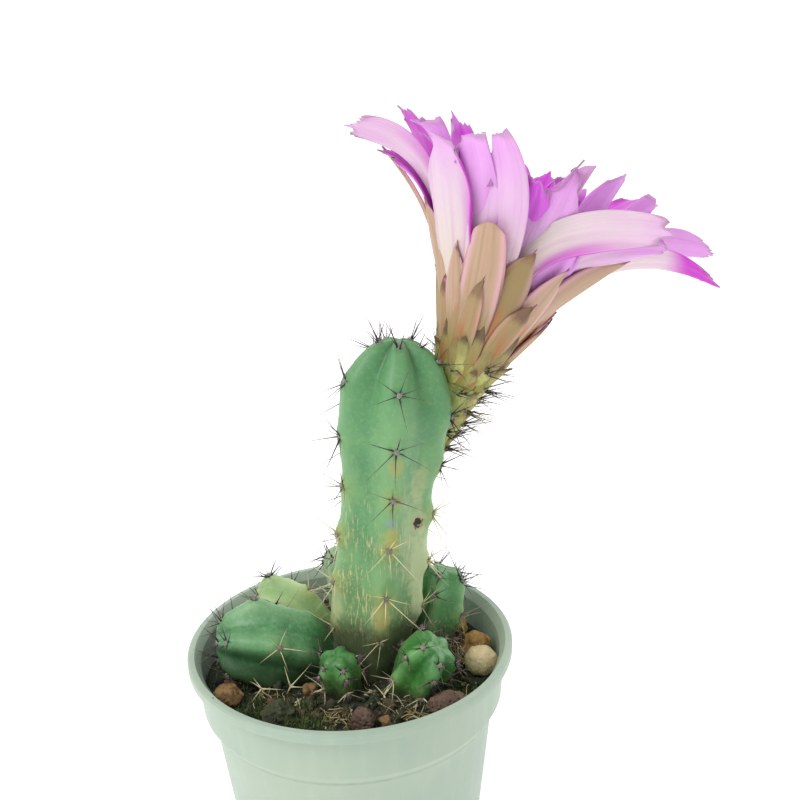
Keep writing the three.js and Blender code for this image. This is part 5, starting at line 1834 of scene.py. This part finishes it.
PETAL_SHAPE = {
    "lean": 14, "claw": 0.5, "belly": 0.66, "tip_width": 0.5, "point": 3.6, "spike": 1.4, "teeth": 0.85,
    "wave": 0.8, "ruffle": 0.5, "pleat": 0.24, "cup": 32,
}
PETAL_ROWS = [  # the row, its plan and seed, where its feet stand, and its tints
    ("outer_petals", OUTER_PETALS, 97, (9.2, 3.5), ("#d6c8b8", "#dac7ce", "#d99ddb", "#c435c0", "#e0d2b6")),
    ("inner_petals", INNER_PETALS, 101, (8.4, 4), ("#dac8cc", "#deb6dc", "#d894dd", "#cd42d0", "#e0d2b6")),
    (
        "throat_petals", THROAT_PETALS, 103, (7.6, 4.5),
        ("#dcb0d8", "#d67fdd", "#d25fda", "#cd40d0", "#e6dcb4"),
    ),
]
for name, plan, seed, foot, silk in PETAL_ROWS:
    row = grown_blades(plan, seed, foot, 18, 40, PETAL_SHAPE)
    finish_piece(row, name, ["petals"], petal_silk(name + "_silk", *silk))

# %% [markdown]
# ## Stamens and pistil
#
# Deep in the cup stands a ring of many thin stamens, each with a pollen-yellow anther, round a stout
# pale style that ends in a star of green lobes.


# %% Filaments and anthers
STAMENS = 84


def flower_way(turn):
    """The way out from the flower's axis, at a turn from its right side."""
    return FLOWER_SIDE * math.cos(turn) - FLOWER_FRONT * math.sin(turn)


def stamen_stands():
    """Matrices of the filaments, and of the anthers at their ends, in three rings."""
    draw = draws(113)
    feet, ways, lengths, tips = [], [], [], []
    for number in range(STAMENS):
        inner = number % 3 / 2
        turn = (number + 0.4 * draw()) / STAMENS * FULL_TURN
        lean = math.radians(lerp(24, 3, inner) + 4 * draw())
        length = lerp(21, 15, inner) + 2 * draw()
        outward = flower_way(turn)
        way = outward * math.sin(lean) + FLOWER_AXIS * math.cos(lean)
        foot = TUBE_END + outward * (6.15 - 1.2 * inner) + FLOWER_AXIS * 5.5
        feet.append(foot)
        ways.append(way)
        lengths.append(length)
        tips.append(foot + way * length)
    return stood(feet, ways, 0.24, lengths), stood(tips, ways, 0.55, 0.95)


def filament_finish():
    made = Finish("filament")
    share = made.noted("share")
    grain = made.grain(made.place(), 1.5, 2)
    shade = made.mix(share.rise(0.2, 0.8), colour("#cfd39a"), colour("#e7b7d6"))
    shade = made.mix(grain.rise(0.5, 0.7) * 0.3, shade, colour("#c98fbe"))
    return made.wear(base_color=shade, roughness=0.5 + 0.1 * grain, subsurface_weight=0.2)


def pollen_finish():
    made = Finish("pollen")
    grain = made.grain(made.place(), 3.5, 4, 0.7)
    shade = made.mix(grain.rise(0.35, 0.65), colour("#c9a63a"), colour("#efdc7a"))
    return made.wear(base_color=shade, roughness=0.85 + 0.1 * grain, normal=made.bump(grain, 0.15))


filament_master = slim_master("filament_master", 5, 5, 0.3, 2.0)
filaments, anthers = stamen_stands()
filament_row = copies(filament_master, filaments, tones_for(filaments, 114))
finish_piece(filament_row, "filaments", ["stamens"], filament_finish())
anther_row = copies(crumb_master, anthers, tones_for(anthers, 115))
finish_piece(anther_row, "anthers", ["stamens"], pollen_finish())


# %% The cup that holds the petals and stamens
CUP_LINE = [(8.4, 0), (8.7, 1), (9.1, 4.6), (9.3, 7.4), (8.6, 8), (7.0, 6.8), (5, 6), (4, 3.6)]


def flower_cup():
    """The fleshy ring between the tube and the petals."""
    made = drawn_wall(CUP_LINE, 72)
    modifier(made, "SUBSURF", levels=1, render_levels=1)
    note(made, share=0.3, tone=0.2, across=0, inside=0)
    return on_flower(made)


finish_piece(flower_cup(), "flower_cup", ["outer_tepals", "petals", "stamens"], tube_leaf)


# %% Style and stigma
STYLE_LINE = [(3, 0), (2.6, 2.2), (1.2, 5), (1.05, 16), (1.1, 28), (1.6, 30.3), (1.3, 31.2), (0.4, 31.5)]
LOBES = 9


def pistil_body():
    made = drawn_wall(STYLE_LINE, 24)
    modifier(made, "SUBSURF", levels=2, render_levels=2)
    note(made, share=points_of(made)[:, 2] / 40, tone=0)
    return on_flower(made)


def stigma_lobes():
    outward = [flower_way(number / LOBES * FULL_TURN) for number in range(LOBES)]
    feet = [TUBE_END + FLOWER_AXIS * 30.4 + way * 0.5 for way in outward]
    ways = [way * 0.7 + FLOWER_AXIS for way in outward]
    return copies(lobe_master, stood(feet, ways, 0.62, 4.6, 1.0), 1)


def pistil_finish():
    made = Finish("pistil")
    tone = made.noted("tone")
    grain = made.grain(made.place(), 2.5, 3)
    shade = made.mix(made.noted("share").rise(0.2, 0.7), colour("#d7dcae"), colour("#e9cfe0"))
    shade = made.mix(tone, shade, colour("#4f9142"))
    shade = made.mix(grain.rise(0.45, 0.7) * 0.35, shade, colour("#7fb061"))
    return made.wear(base_color=shade, roughness=0.55 + 0.15 * grain, normal=made.bump(grain, 0.12))


lobe_master = slim_master("lobe_master", 8, 6, -0.4, 0.8)
modifier(lobe_master, "SUBSURF", levels=1, render_levels=1)
pistil = joined([pistil_body(), stigma_lobes()])
finish_piece(pistil, "style_and_stigma", ["pistil"], pistil_finish())

# %% [markdown]
# ## Clear the bench
#
# The masters were only patterns, so they leave the scene.

# %% Remove the masters
for piece in list(bpy.data.objects):
    if piece.name.endswith("_master"):
        bpy.data.objects.remove(piece)
